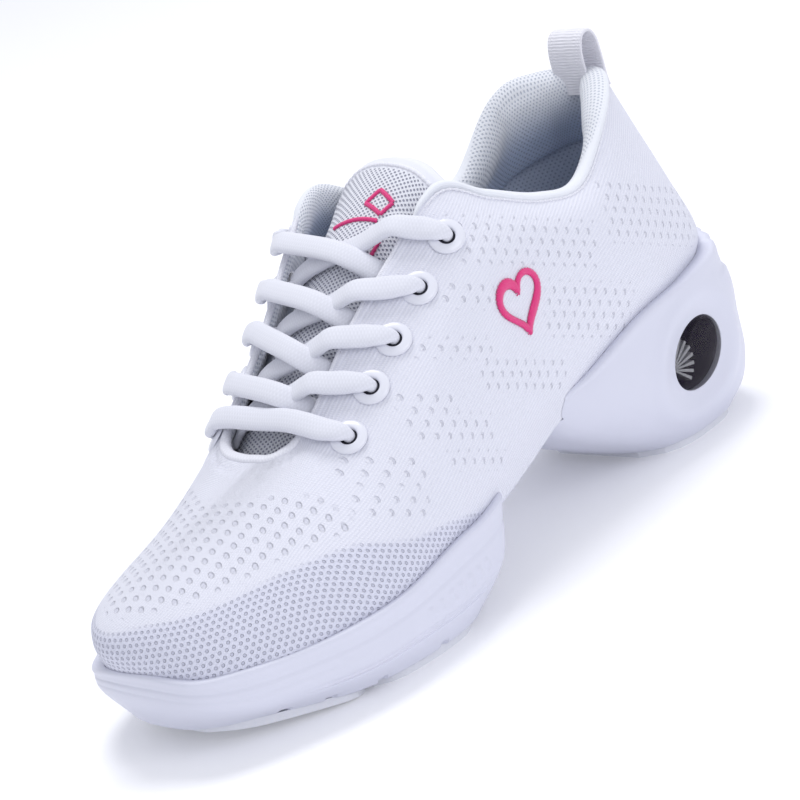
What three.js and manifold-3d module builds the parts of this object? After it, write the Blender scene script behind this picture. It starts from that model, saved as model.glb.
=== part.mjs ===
// One dance and cheer sneaker with a split sole: a left shoe, laced, standing flat.
// Units are millimetres. +Z is up, the toe points along -Y and +X is the outer side.
// Every profile is written as [x, s, z], where s is the distance measured forward from
// a datum near the back of the heel, so y = DATUM_Y - s.

import * as THREE from 'three';
import { mergeVertices } from 'three/addons/utils/BufferGeometryUtils.js';
import Module from 'manifold-3d';

const wasm = await Module();
wasm.setup();

// ---------------------------------------------------------------- driving sizes
const DATUM_Y = 120.475;       // puts the middle of the shoe's length at y = 0
const DATUM_X = -4.335;        // puts the middle of the shoe's width at x = 0
const KNIT = 1.6;             // thickness of the knitted upper
const GAP = 0.35;             // clearance kept between neighbouring pieces
const LAYER_GAP = 0.75;       // clearance between curved layers of the upper
const STIFFENER = 1.0;        // heel counter, toe puff and eyestay sheet
const LINING = 0.9;           // thickness of the inner lining
const WAIST_BACK = 5.35;      // column where the rear upper ends
const WAIST_FRONT = 6.2;      // column where the front upper begins
const COLUMNS = 26;           // columns of the upper's control net
const EYELET_OUTER = 5.6;     // washer radius
const EYELET_HOLE = 2.7;      // washer hole radius
const EYELET_THICK = 1.0;
const LACE_WIDTH = 6.4;
const LACE_THICK = 2.6;
const LACE_ROUND = 3.1;       // bunched lace where it goes through an eyelet
const TAB_WIDTH = 14.5;       // pull tab webbing
const TAB_THICK = 1.3;
const TREAD = 2.6;            // rubber tread thickness

// ------------------------------------------------------- the upper's control net
// Columns run from the back of the heel round the outer side to the toe and back
// along the inner side. Rows run from the feather line up to the top edge.
const FEATHER = [[0, -2, 46], [19, 3, 46], [29, 24, 47], [32, 48, 45], [32, 70, 39], [33, 91, 35],
  [37, 116, 29], [44, 140, 27], [48, 162, 26], [49.5, 186, 22], [46, 208, 21], [38, 230, 22],
  [24, 246.8, 23.5], [-1, 250.8, 25.5], [-20, 243.6, 23], [-31.5, 229.5, 20.5], [-38, 206, 22], [-39, 182, 23],
  [-36, 160, 26], [-31, 138, 28], [-28, 116, 31], [-28, 92, 35], [-30, 71, 39], [-30, 48, 45],
  [-28, 24, 47], [-19, 3, 46]];
const LOW = [[0, -8, 58], [21, -3.5, 58], [32, 23, 59], [36, 48, 58], [36, 70, 53], [37, 92, 49],
  [41, 116, 44], [46, 139, 40], [50, 161, 37], [50.5, 185, 33], [46, 207, 31], [37, 229, 31],
  [23, 246, 33], [-2, 254, 36.5], [-19, 246, 35.5], [-32, 230, 33], [-39, 205, 32], [-41, 182, 35],
  [-39, 160, 38], [-35, 138, 41], [-32, 116, 45], [-32, 92, 49], [-33, 71, 53], [-34, 48, 58],
  [-31, 23, 59], [-20, -2.5, 58]];
const MIDDLE = [[0, -4, 78], [20, 2, 78], [31, 25, 77], [36, 48, 75], [37, 72, 72], [38, 94, 69],
  [41, 116, 65], [44, 138, 60], [46, 159, 54], [44, 180, 48], [39, 203, 44], [30, 224, 42],
  [17, 240, 43], [-3, 249, 43.5], [-17, 242, 43], [-29, 225, 42], [-35, 202, 43], [-37, 179, 48],
  [-38, 158, 55], [-37, 137, 60], [-36, 115, 66], [-35, 93, 70], [-35, 72, 73], [-35, 48, 76],
  [-31, 25, 78], [-20, 2, 78]];
const HIGH = [[0, 2, 100], [16, 7, 100], [27, 27, 96], [33, 48, 89], [35, 70, 90], [36, 90, 94],
  [37, 110, 95], [36, 130, 85], [34, 151, 75], [31, 171, 64], [25, 192, 57.5], [16, 209, 55],
  [7, 223, 53], [-3, 229, 51.5], [-10, 224, 51.5], [-17, 210, 53], [-24, 193.5, 56], [-29, 172, 63],
  [-31.5, 151, 75], [-34, 130, 85], [-36.5, 110, 95], [-35.5, 90, 94], [-34, 70, 90], [-33, 48, 89],
  [-28, 27, 97], [-16, 7, 100]];
const TOP = [[0, 5, 117], [13, 11, 117.5], [23, 27, 110], [27, 49, 97], [28, 68, 100], [27, 88, 109.5],
  [22, 103, 117.5], [18, 124, 104], [16, 147, 90], [15, 168, 74], [12, 176, 67.5], [8, 180, 65],
  [4, 181.5, 64], [0, 182, 64], [-5.5, 182.5, 64.2], [-12.5, 181.5, 65.2], [-17, 177.5, 68], [-19, 169.5, 74],
  [-20, 148.5, 90.5], [-26, 126.5, 105.5], [-30.5, 105.5, 117.5], [-29.5, 88, 109.5], [-28, 68, 100],
  [-27, 48, 97], [-25, 27, 113], [-14, 12, 118]];
const NET = [FEATHER, LOW, MIDDLE, HIGH, TOP];

// eyelet centres on the outer and the inner side, bottom to top
const EYELETS = {
  lateral: [[28.3, 170.1, 66.2], [28.3, 156.1, 75.8], [28.3, 142.3, 84.9], [28.5, 126.8, 94.8], [30.2, 113.3, 104.8]],
  medial: [[-23.9, 174.2, 66.4], [-24.9, 159, 76.5], [-25.5, 146.9, 85.5], [-28.3, 132.6, 94.6], [-31.7, 115.6, 106]],
};

// ------------------------------------------------------------- small vector tools
const add = (a, b, k = 1) => [a[0] + b[0] * k, a[1] + b[1] * k, a[2] + b[2] * k];
const sub = (a, b) => [a[0] - b[0], a[1] - b[1], a[2] - b[2]];
const mix = (a, b, t) => [0, 1, 2].map((i) => a[i] + (b[i] - a[i]) * t);
const dot = (a, b) => a[0] * b[0] + a[1] * b[1] + a[2] * b[2];
const cross = (a, b) => [
  a[1] * b[2] - a[2] * b[1],
  a[2] * b[0] - a[0] * b[2],
  a[0] * b[1] - a[1] * b[0],
];
const unit = (a) => {
  const length = Math.hypot(a[0], a[1], a[2]) || 1;
  return [a[0] / length, a[1] / length, a[2] / length];
};
const place = (p) => [p[0] + DATUM_X, DATUM_Y - p[1], p[2]];

// Catmull-Rom curve through points; t runs from 0 to the number of spans
function curve(points, t, closed = false) {
  const n = points.length;
  let i = Math.floor(t);
  if (!closed) i = Math.min(Math.max(i, 0), n - 2);
  const f = t - i;
  const at = (k) => {
    if (closed) return points[(((i + k) % n) + n) % n];
    if (i + k < 0) return add(points[0], sub(points[0], points[1]));
    if (i + k > n - 1) return add(points[n - 1], sub(points[n - 1], points[n - 2]));
    return points[i + k];
  };
  const [a, b, c, d] = [at(-1), at(0), at(1), at(2)];
  return [0, 1, 2].map((k) => 0.5 * (2 * b[k] + (c[k] - a[k]) * f
    + (2 * a[k] - 5 * b[k] + 4 * c[k] - d[k]) * f * f
    + (3 * b[k] - a[k] - 3 * c[k] + d[k]) * f * f * f));
}

// a point of the upper's outer face, already in the shoe's frame
function upperPoint(u, v) {
  const rows = NET.map((row) => curve(row, ((u % COLUMNS) + COLUMNS) % COLUMNS, true));
  return place(curve(rows, v));
}

// outward normal of the upper's outer face
function upperNormal(u, v) {
  const step = 0.02;
  const along = sub(upperPoint(u + step, v), upperPoint(u - step, v));
  const up = sub(upperPoint(u, Math.min(v + step, 4)), upperPoint(u, Math.max(v - step, 0)));
  return unit(cross(up, along));
}

const upperOffset = (u, v, h) => add(upperPoint(u, v), upperNormal(u, v), h);

const range = (from, to, count) => {
  const out = [];
  for (let i = 0; i <= count; i += 1) out.push(from + (to - from) * i / count);
  return out;
};

// ------------------------------------------------------------------ solid makers
function geometry(points, faces) {
  const positions = [];
  for (const face of faces) {
    for (const k of face) positions.push(...points[k]);
  }
  const raw = new THREE.BufferGeometry();
  raw.setAttribute('position', new THREE.Float32BufferAttribute(positions, 3));
  const merged = mergeVertices(raw, 1e-4);
  return outward(merged);
}

// turns a closed mesh so that it faces out
function outward(g) {
  const p = g.attributes.position;
  const index = g.index.array;
  let volume = 0;
  for (let i = 0; i < index.length; i += 3) {
    const [a, b, c] = [index[i], index[i + 1], index[i + 2]];
    const pa = [p.getX(a), p.getY(a), p.getZ(a)];
    const pb = [p.getX(b), p.getY(b), p.getZ(b)];
    const pc = [p.getX(c), p.getY(c), p.getZ(c)];
    volume += dot(pa, cross(pb, pc));
  }
  if (volume < 0) {
    for (let i = 0; i < index.length; i += 3) {
      const keep = index[i];
      index[i] = index[i + 1];
      index[i + 1] = keep;
    }
  }
  g.computeVertexNormals();
  return g;
}

// closed solid between an outer and an inner grid of points with the same layout
function slab(outer, inner) {
  const rows = outer.length;
  const cols = outer[0].length;
  const points = [...outer.flat(), ...inner.flat()];
  const o = (r, c) => r * cols + c;
  const i = (r, c) => rows * cols + r * cols + c;
  const faces = [];
  const quad = (a, b, c, d) => faces.push([a, b, c], [a, c, d]);
  for (let r = 0; r < rows - 1; r += 1) {
    for (let c = 0; c < cols - 1; c += 1) {
      quad(o(r, c), o(r, c + 1), o(r + 1, c + 1), o(r + 1, c));
      quad(i(r, c), i(r + 1, c), i(r + 1, c + 1), i(r, c + 1));
    }
  }
  for (let c = 0; c < cols - 1; c += 1) {
    quad(o(0, c), i(0, c), i(0, c + 1), o(0, c + 1));
    quad(o(rows - 1, c), o(rows - 1, c + 1), i(rows - 1, c + 1), i(rows - 1, c));
  }
  for (let r = 0; r < rows - 1; r += 1) {
    quad(o(r, 0), o(r + 1, 0), i(r + 1, 0), i(r, 0));
    quad(o(r, cols - 1), i(r, cols - 1), i(r + 1, cols - 1), o(r + 1, cols - 1));
  }
  return geometry(points, faces);
}

// a curved sheet that follows the upper between two depths
function sheet(us, vs, top, bottom) {
  const grid = (h) => us.map((u) => vs.map((v) => upperOffset(u, v, h)));
  return slab(grid(top), grid(bottom));
}

// closed solid from a stack of rings; ring point j faces ring point n - j across the shoe
function stack(rings) {
  const n = rings[0].length;
  const points = rings.flat();
  const at = (r, j) => r * n + (j % n);
  const faces = [];
  for (let r = 0; r < rings.length - 1; r += 1) {
    for (let j = 0; j < n; j += 1) {
      faces.push([at(r, j), at(r, j + 1), at(r + 1, j + 1)]);
      faces.push([at(r, j), at(r + 1, j + 1), at(r + 1, j)]);
    }
  }
  const cap = (r, flip) => {
    const put = (a, b, c) => faces.push(flip ? [a, c, b] : [a, b, c]);
    const half = n / 2;
    for (let j = 0; j < half; j += 1) {
      const a = at(r, j);
      const b = at(r, j + 1);
      const c = at(r, n - j - 1);
      const d = at(r, n - j);
      if (j > 0) put(d, c, a);
      if (j < half - 1) put(a, c, b);
      if (j === 0) continue;
    }
  };
  cap(0, false);
  cap(rings.length - 1, true);
  return geometry(points, faces);
}

// smooth ring through control points, with `per` samples on each span
function ring(control, per) {
  const out = [];
  for (let j = 0; j < control.length * per; j += 1) out.push(place(curve(control, j / per, true)));
  return out;
}

// tube of oval section along a path; each path entry is {p, side, wide, thick}
function tube(path, corners = 8) {
  const rings = path.map((node, k) => {
    const before = path[Math.max(k - 1, 0)].p;
    const after = path[Math.min(k + 1, path.length - 1)].p;
    const forward = unit(sub(after, before));
    const up = unit(cross(forward, node.side));
    const side = unit(cross(up, forward));
    const out = [];
    for (let j = 0; j < corners; j += 1) {
      const angle = 2 * Math.PI * j / corners;
      const flat = add(node.p, side, Math.cos(angle) * node.wide / 2);
      out.push(add(flat, up, Math.sin(angle) * node.thick / 2));
    }
    return out;
  });
  return stack(rings);
}

// washer of revolution set on a point, looking along a normal
function washer(centre, normal, outer, hole, thick, segments = 14) {
  const profile = [
    new THREE.Vector2(hole, 0), new THREE.Vector2(outer - 0.3, 0), new THREE.Vector2(outer, 0.35),
    new THREE.Vector2(outer - 0.6, thick), new THREE.Vector2(hole + 0.3, thick),
    new THREE.Vector2(hole, thick - 0.35), new THREE.Vector2(hole, 0),
  ];
  const lathe = new THREE.LatheGeometry(profile, segments);
  lathe.deleteAttribute('uv');
  lathe.deleteAttribute('normal');
  const turn = new THREE.Quaternion().setFromUnitVectors(
    new THREE.Vector3(0, 1, 0), new THREE.Vector3(...normal));
  lathe.applyQuaternion(turn);
  lathe.translate(...centre);
  return outward(mergeVertices(lathe, 1e-4));
}

function cylinder(centre, axis, radius, length, segments = 16) {
  const g = new THREE.CylinderGeometry(radius, radius, length, segments);
  g.deleteAttribute('uv');
  g.deleteAttribute('normal');
  const turn = new THREE.Quaternion().setFromUnitVectors(
    new THREE.Vector3(0, 1, 0), new THREE.Vector3(...unit(axis)));
  g.applyQuaternion(turn);
  g.translate(...centre);
  return mergeVertices(g, 1e-4);
}

// ---------------------------------------------------------------- boolean helpers
function toManifold(g) {
  const mesh = new wasm.Mesh({
    numProp: 3,
    vertProperties: new Float32Array(g.attributes.position.array),
    triVerts: new Uint32Array(g.index.array),
  });
  return new wasm.Manifold(mesh);
}

function fromManifold(m) {
  const mesh = m.getMesh();
  const g = new THREE.BufferGeometry();
  g.setAttribute('position', new THREE.Float32BufferAttribute(mesh.vertProperties, 3));
  g.setIndex(Array.from(mesh.triVerts));
  return outward(mergeVertices(g, 1e-4));
}

function cut(base, tools) {
  let result = toManifold(base);
  for (const tool of tools) result = result.subtract(toManifold(tool));
  return fromManifold(result);
}

function join(parts) {
  let result = toManifold(parts[0]);
  for (const part of parts.slice(1)) result = result.add(toManifold(part));
  return fromManifold(result);
}

// ------------------------------------------------------------------- space of the upper
// A closed body slightly larger than the upper, used to hollow the sole units.
function upperSpace(grow, drop) {
  const us = range(0, COLUMNS, COLUMNS * 3).slice(0, -1);
  const bottom = us.map((u) => {
    const p = upperOffset(u, 0, grow);
    return [p[0], p[1], upperPoint(u, 0)[2] - drop];
  });
  const rings = [bottom];
  for (const v of [0, 0.3, 0.6, 1, 1.5, 2.2]) rings.push(us.map((u) => upperOffset(u, v, grow)));
  return stack(rings);
}

// ------------------------------------------------------------------------ materials
const material = (color, roughness, metalness = 0) => new THREE.MeshStandardMaterial({
  color, roughness, metalness,
});
const WHITE_KNIT = material(0xf0f0f6, 0.95);
const WHITE_MESH = material(0xe4e4ee, 0.95);
const WHITE_FOAM = material(0xe9e9f4, 0.6);
const WHITE_RUBBER = material(0xdcdce6, 0.8);
const LINING_CLOTH = material(0xd5d9e4, 0.9);
const STIFF_BOARD = material(0xd9d6cc, 0.85);
const INSOLE_FOAM = material(0xdde0e8, 0.95);
const LACE_CLOTH = material(0xf4f4f8, 0.85);
const CLEAR_PLASTIC = material(0xe8e8ee, 0.35);
const SMOKE_PLASTIC = material(0x3a3844, 0.15);
const SILVER = material(0xc8ccd4, 0.25, 0.9);
const PINK_THREAD = material(0xe02f83, 0.7);

const shoe = new THREE.Group();
shoe.name = 'cheer_shoe';

function put(name, g, mat) {
  const clean = g.clone();
  clean.computeVertexNormals();
  const mesh = new THREE.Mesh(clean, mat);
  mesh.name = name;
  shoe.add(mesh);
  return mesh;
}

// ------------------------------------------------------------------ forefoot sole unit
const FORE_RIM = [[5, 131, 29], [28, 131, 29], [44, 133.5, 31], [49, 146, 29.5], [51.3, 162, 29],
  [52.3, 186, 25.5], [49.3, 205, 24.5], [42.5, 223, 24.5], [34.5, 238, 25.5], [24, 249.3, 26.5],
  [8, 252.8, 29], [-9, 251.8, 28.6], [-24, 245.7, 25.4], [-34.5, 232.5, 24.4], [-41, 217, 25.5],
  [-43.5, 195, 25], [-43, 172, 27.5], [-40, 152, 29.5], [-35.5, 135.5, 31], [-18, 131, 29]];
const FORE_SIDE = [[5, 137, 15], [28, 137, 15], [45.5, 141, 15], [49.6, 151, 14], [51.6, 164, 13],
  [52, 186, 12.5], [48.5, 205, 12], [41.5, 223, 13], [33.5, 238, 14], [23, 248.5, 17],
  [8, 252, 19], [-9, 251.5, 20], [-24, 245.5, 18.5], [-35, 234, 17], [-41, 217, 14],
  [-43.5, 195, 12], [-43, 172, 13], [-40.5, 154, 14], [-36.5, 141, 15], [-18, 137, 15]];
const FORE_EDGE = [[5, 153, 3.6], [26, 152.5, 3.6], [42, 154, 3.6], [47, 160, 3.4], [48.6, 171, 3.2],
  [47.5, 186, 3.2], [43, 203, 3.4], [36, 217, 5], [27, 231, 7], [17, 240, 6],
  [5, 244.5, 7.6], [-9, 246, 9.8], [-20, 240.5, 10], [-29, 230, 9], [-35.5, 214, 6],
  [-39.5, 195, 3.8], [-40, 176, 3.2], [-38.5, 162, 3.4], [-34, 154, 3.6], [-16, 152.5, 3.6]];

function foreSole() {
  const rings = [];
  const layers = [FORE_EDGE, FORE_SIDE, FORE_RIM].map((layer) => ring(layer, 3));
  for (const t of [0, 0.5, 1, 1.5, 2]) {
    rings.push(layers[0].map((_, j) => curve(layers.map((layer) => layer[j]), t)));
  }
  return cut(stack(rings), [upperSpace(0.4, 1.6)]);
}

// flat ring slightly inside the sole's lower edge, between two stations
function treadOutline(control, from, to) {
  const edge = ring(control, 6).map((p) => [p[0], DATUM_Y - p[1], p[2]]);
  const lateral = edge.slice(0, edge.length / 2);
  const medial = edge.slice(edge.length / 2).reverse();
  const side = (line, s) => {
    for (let k = 0; k < line.length - 1; k += 1) {
      const [a, b] = [line[k], line[k + 1]];
      if ((a[1] - s) * (b[1] - s) <= 0 && Math.abs(a[1] - b[1]) > 1e-6) {
        return mix(a, b, (s - a[1]) / (b[1] - a[1]));
      }
    }
    return line[line.length - 1];
  };
  const stations = range(from, to, 10);
  const right = stations.map((s) => side(lateral, s));
  const left = stations.map((s) => side(medial, s));
  return { right, left, stations };
}

function tread(control, from, to, heightAt) {
  const { right, left, stations } = treadOutline(control, from, to);
  const rows = stations.map((s, k) => {
    const end = Math.min(k, stations.length - 1 - k);
    const pull = 2.2 + (end === 0 ? 4 : 0) + (end === 1 ? 1 : 0);
    const base = heightAt(s);
    return [-1, -0.5, 0, 0.5, 1].map((w) => {
      const x = w > 0 ? w * (right[k][0] - pull) : -w * (left[k][0] + pull);
      return [x, DATUM_Y - s, base];
    });
  });
  const bottom = rows;
  const top = rows.map((row) => row.map((p) => [p[0], p[1], p[2] + TREAD]));
  return slab(top, bottom);
}

// -------------------------------------------------------------------- heel sole unit
// half rings from front centre to back centre on the outer side; the inner side mirrors
const HEEL_RINGS = [
  [[0, 52, 3.2], [15, 50.5, 3.2], [26.5, 45, 3.2], [31.5, 35, 3.2], [32, 25, 3.2], [30.5, 14, 3.4],
    [24, 5, 3.8], [13, 0, 4], [0, -1.5, 4]],
  [[0, 62, 9], [16.5, 61, 9], [28.5, 55, 9], [34.5, 41, 9], [35.5, 27, 9], [34, 13, 9],
    [28, 1, 9], [15.5, -5.5, 9], [0, -8, 9]],
  [[0, 76, 17], [17, 75, 17], [30, 70, 17.5], [36.2, 51, 17.5], [37.5, 32, 17.5], [36.3, 14, 17.5],
    [30, -1, 17.5], [17, -9, 17.5], [0, -11.6, 17.5]],
  [[0, 89, 25.5], [17, 89, 26], [30.5, 86, 27], [36.8, 66, 27.5], [38.2, 40, 27.5], [37, 15, 27.5],
    [30, -2, 27.5], [17, -10.2, 27.5], [0, -12.8, 27.5]],
  [[0, 97, 31], [17, 97, 32], [31, 93.5, 35.5], [36.5, 75, 37.5], [37.8, 45, 38.5], [36.2, 16, 38.5],
    [29.5, -2.6, 38], [16.5, -10.4, 38], [0, -12.8, 38]],
  [[0, 98.5, 33.5], [17, 98, 35.5], [31.5, 92.5, 40], [36, 76, 43], [37, 48, 50], [34.6, 19, 51.5],
    [27.5, -2, 52.5], [16.5, -9.2, 56], [0, -11.8, 58]],
];

function mirrorRing(half) {
  const other = half.slice(1, -1).reverse().map((p) => [-p[0] * 0.97, p[1], p[2]]);
  return [...half, ...other];
}

const WINDOW = { s: 27, z: 28.5, long: 13.5, high: 9.2, tilt: 0.42 };

// oval bar through the heel from side to side
function ovalBar(grow, halfWidth, segments = 28) {
  const rings = [-1, 1].map((sign) => {
    const out = [];
    for (let j = 0; j < segments; j += 1) {
      const angle = 2 * Math.PI * j / segments;
      const a = Math.cos(angle) * (WINDOW.long + grow);
      const b = Math.sin(angle) * (WINDOW.high + grow);
      const s = WINDOW.s + a * Math.cos(WINDOW.tilt) - b * Math.sin(WINDOW.tilt);
      const z = WINDOW.z - a * Math.sin(WINDOW.tilt) - b * Math.cos(WINDOW.tilt);
      out.push(place([sign * halfWidth, s, z]));
    }
    return out;
  });
  return stack(rings);
}

function heelSole() {
  const layers = HEEL_RINGS.map((half) => ring(mirrorRing(half), 3));
  const rings = [];
  for (const t of range(0, HEEL_RINGS.length - 1, 10)) {
    rings.push(layers[0].map((_, j) => curve(layers.map((layer) => layer[j]), t)));
  }
  return cut(stack(rings), [upperSpace(0.4, 1.6), ovalBar(0, 60)]);
}

// clear lens that closes one end of the window, set back from the side wall
function lens(sign) {
  const segments = 24;
  const face = (x, scale) => {
    const out = [];
    for (let j = 0; j < segments; j += 1) {
      const angle = 2 * Math.PI * j / segments;
      const a = Math.cos(angle) * (WINDOW.long - 0.4) * scale;
      const b = Math.sin(angle) * (WINDOW.high - 0.4) * scale;
      const s = WINDOW.s + a * Math.cos(WINDOW.tilt) - b * Math.sin(WINDOW.tilt);
      const z = WINDOW.z - a * Math.sin(WINDOW.tilt) - b * Math.cos(WINDOW.tilt);
      out.push(place([sign * x, s, z]));
    }
    return out;
  };
  return stack([face(27.5, 1), face(28.6, 1), face(29.6, 0.8)]);
}

// silver cushion core: a hub bar with blades fanned round it
function cushionCore() {
  const blades = [];
  const hub = place([0, WINDOW.s + 5.5, WINDOW.z - 3.2]);
  blades.push(cylinder(hub, [1, 0, 0], 2.6, 50, 16));
  for (let k = 0; k < 7; k += 1) {
    const angle = -0.5 + k * 0.42;
    const reach = 7.2 - Math.abs(k - 3) * 0.5;
    const g = new THREE.BoxGeometry(48, reach, 1.0);
    g.deleteAttribute('uv');
    g.deleteAttribute('normal');
    g.translate(0, reach / 2, 0);
    g.rotateX(angle);
    g.translate(...hub);
    blades.push(mergeVertices(g, 1e-4));
  }
  const shape = toManifold(join(blades));
  return fromManifold(shape.intersect(toManifold(ovalBar(-0.6, 25.5))));
}

// --------------------------------------------------------------------- upper pieces
const FRONT_US = range(WAIST_FRONT, COLUMNS - WAIST_FRONT, 36);
const REAR_US = range(-WAIST_BACK, WAIST_BACK, 30);
const ALL_VS = [0, 0.35, 0.8, 1.4, 2, 2.6, 3.1, 3.6, 4];

// nearest place on the net for each eyelet
function locate(target) {
  const goal = place(target);
  let best = { d: Infinity };
  const scan = (u0, u1, v0, v1, count) => {
    for (const u of range(u0, u1, count)) {
      for (const v of range(v0, v1, count)) {
        const p = upperPoint(u, v);
        const d = Math.hypot(p[0] - goal[0], p[1] - goal[1], p[2] - goal[2]);
        if (d < best.d) best = { d, u, v };
      }
    }
  };
  if (target[0] > 0) scan(5.8, 10, 2.8, 4, 40);
  else scan(16, 20.2, 2.8, 4, 40);
  scan(best.u - 0.1, best.u + 0.1, Math.max(best.v - 0.03, 2.8), Math.min(best.v + 0.03, 4), 12);
  return best;
}

const HOLES = { lateral: EYELETS.lateral.map(locate), medial: EYELETS.medial.map(locate) };

function eyeletDrills() {
  const drills = [];
  for (const side of ['lateral', 'medial']) {
    for (const hole of HOLES[side]) {
      const centre = upperPoint(hole.u, hole.v);
      drills.push(cylinder(centre, upperNormal(hole.u, hole.v), EYELET_HOLE, 12, 12));
    }
  }
  return drills;
}

// eyestay reinforcement strip under one facing
function eyestay(side) {
  const rows = [];
  const count = 14;
  for (let k = 0; k <= count; k += 1) {
    const t = -0.35 + k * (4.6 / count);
    const at = facingAt(side, Math.max(t, 0));
    const extra = Math.min(t, 0);
    const u = at.u + (side === 'lateral' ? -extra * 0.9 : extra * 0.9);
    rows.push({ u, v: at.v });
  }
  const grid = (h) => rows.map((row) => [-0.26, -0.12, 0.02, 0.16].map((dv) => {
    const v = Math.min(row.v + dv, 3.93);
    return upperOffset(row.u, v, h);
  }));
  const top = -KNIT - LAYER_GAP;
  return slab(grid(top), grid(top - STIFFENER));
}

// net position at a level between eyelets; level 0 is the lowest eyelet, 4 the highest
function facingAt(side, level) {
  const points = HOLES[side].map((h) => [h.u, h.v, 0]);
  const p = curve(points, Math.min(Math.max(level, 0), 4));
  return { u: p[0], v: p[1] };
}

// the bare waist of the upper between the two sole units, in one band under the foot
function waistBand() {
  const vs = ALL_VS;
  const us = [WAIST_BACK + 0.08, (WAIST_BACK + WAIST_FRONT) / 2, WAIST_FRONT - 0.08];
  const strip = (h) => us.map((u) => {
    const lateral = vs.slice().reverse().map((v) => upperOffset(u, v, h));
    const medial = vs.map((v) => upperOffset(COLUMNS - u, v, h));
    const drop = 0.4 - h;
    const a = upperPoint(u, 0);
    const b = upperPoint(COLUMNS - u, 0);
    const floor = [0.12, 0.35, 0.65, 0.88].map((w) => {
      const p = mix(a, b, w);
      return [p[0], p[1], p[2] - 1.2 + drop];
    });
    return [...lateral, ...floor, ...medial];
  });
  return slab(strip(0), strip(-KNIT));
}

// board or insole: a flat body following the feather line, between two half stations
function footbed(from, to, inset, low, high, count) {
  const us = range(from, to, count);
  const across = [0, 0.25, 0.5, 0.75, 1];
  const grid = (h) => us.map((u) => {
    const a = upperOffset(u, 0, -inset);
    const b = upperOffset(COLUMNS - u, 0, -inset);
    const za = upperPoint(u, 0)[2];
    const zb = upperPoint(COLUMNS - u, 0)[2];
    return across.map((w) => {
      const p = mix(a, b, w);
      return [p[0], p[1], za + (zb - za) * w + h];
    });
  });
  return slab(grid(high), grid(low));
}

// ---------------------------------------------------------------------------- tongue
// rows from the top edge down; each row runs from the inner edge to the outer edge
const TONGUE = [
  [[-20.5, 96, 118.5], [-13, 92.5, 122.6], [-3, 91.5, 123.8], [9, 92.5, 122.2], [18.5, 95.5, 117.5]],
  [[-23, 103, 113.4], [-14.5, 99.7, 118.8], [-4, 99, 120.5], [8.5, 99.7, 118.4], [19.5, 102.5, 112.4]],
  [[-25.5, 112, 102.5], [-15.5, 110, 111.4], [-4, 109, 114], [8, 109.5, 111], [20.5, 111.5, 101.5]],
  [[-25.5, 126, 90.5], [-15.5, 126.5, 99], [-4, 126, 102], [7.5, 126, 98.6], [20, 125, 89.5]],
  [[-25, 141.5, 78], [-15, 144, 86], [-4, 144, 89], [7, 143.5, 85.4], [19, 140.5, 77]],
  [[-25, 154, 67.5], [-15, 157.5, 75], [-4, 158, 77.5], [6.5, 157, 74.2], [18, 153, 66.5]],
  [[-23.5, 166, 57], [-14, 169.5, 64], [-3.5, 170, 66.3], [6.5, 168.5, 63.3], [17.5, 165, 55.8]],
  [[-22, 176, 49], [-13, 179.5, 55.8], [-3, 180, 57.6], [6.5, 178.5, 55.2], [17, 175, 48]],
  [[-21, 186, 45], [-12, 190, 51], [-3, 191, 52.5], [6, 189, 50.6], [16, 185, 44.5]],
];

function tonguePoint(r, w) {
  const rows = TONGUE.map((row) => curve(row, (w + 1) * 2));
  return place(curve(rows, r));
}

function tongueNormal(r, w) {
  const e = 0.02;
  const down = sub(tonguePoint(Math.min(r + e, 8), w), tonguePoint(Math.max(r - e, 0), w));
  const over = sub(tonguePoint(r, Math.min(w + e, 1)), tonguePoint(r, Math.max(w - e, -1)));
  return unit(cross(down, over));
}

function tonguePiece(rs, top, bottom) {
  const ws = range(-1, 1, 10);
  const grid = (h) => rs.map((r) => ws.map((w) => add(tonguePoint(r, w), tongueNormal(r, w), h)));
  return slab(grid(top), grid(bottom));
}

// ------------------------------------------------------------------------------ lace
function laceNode(side, level, w, h, wide, thick) {
  const at = facingAt(side, level);
  const v = at.v + (4 - at.v) * w;
  const u = at.u;
  const p = upperOffset(u, Math.min(v, 4), h);
  const along = unit(sub(upperPoint(u + 0.05, v), upperPoint(u - 0.05, v)));
  return { p, side: along, wide, thick };
}

// a point between the facing edges; share runs from the first side's edge to the other edge
function crossingNode(side, levelFrom, levelTo, share, h) {
  const a = facingAt(side, levelFrom).u;
  const b = facingAt(side === 'lateral' ? 'medial' : 'lateral', levelTo).u;
  const from = upperPoint(a, 4);
  const to = upperPoint(b, 4);
  const gap = sub(to, from);
  const across = unit([gap[0], gap[1], gap[2] * 0.3]);
  const rise = unit(sub(upperPoint(a + 0.1, 4), upperPoint(a - 0.1, 4)));
  const up = unit(cross([1, 0, 0], [rise[0] * 0.3, rise[1], rise[2]]));
  const lift = up[2] < 0 ? -1 : 1;
  const p = add(mix(from, to, share), up, lift * h);
  return { p, side: unit(cross(across, up)), wide: LACE_WIDTH, thick: LACE_THICK };
}

// where a strand is between the two facing edges, and its height there above their line
const CROSSING = [0.07, 0.2, 0.34, 0.5, 0.66, 0.82, 0.96];
const OVER_RISE = [-4.8, -2, 2, 4.6, 5, 4.6, 4.5];
const UNDER_RISE = [-4.8, -1.6, 0.4, 1.5, 2.7, 3.7, 4.2];

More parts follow.
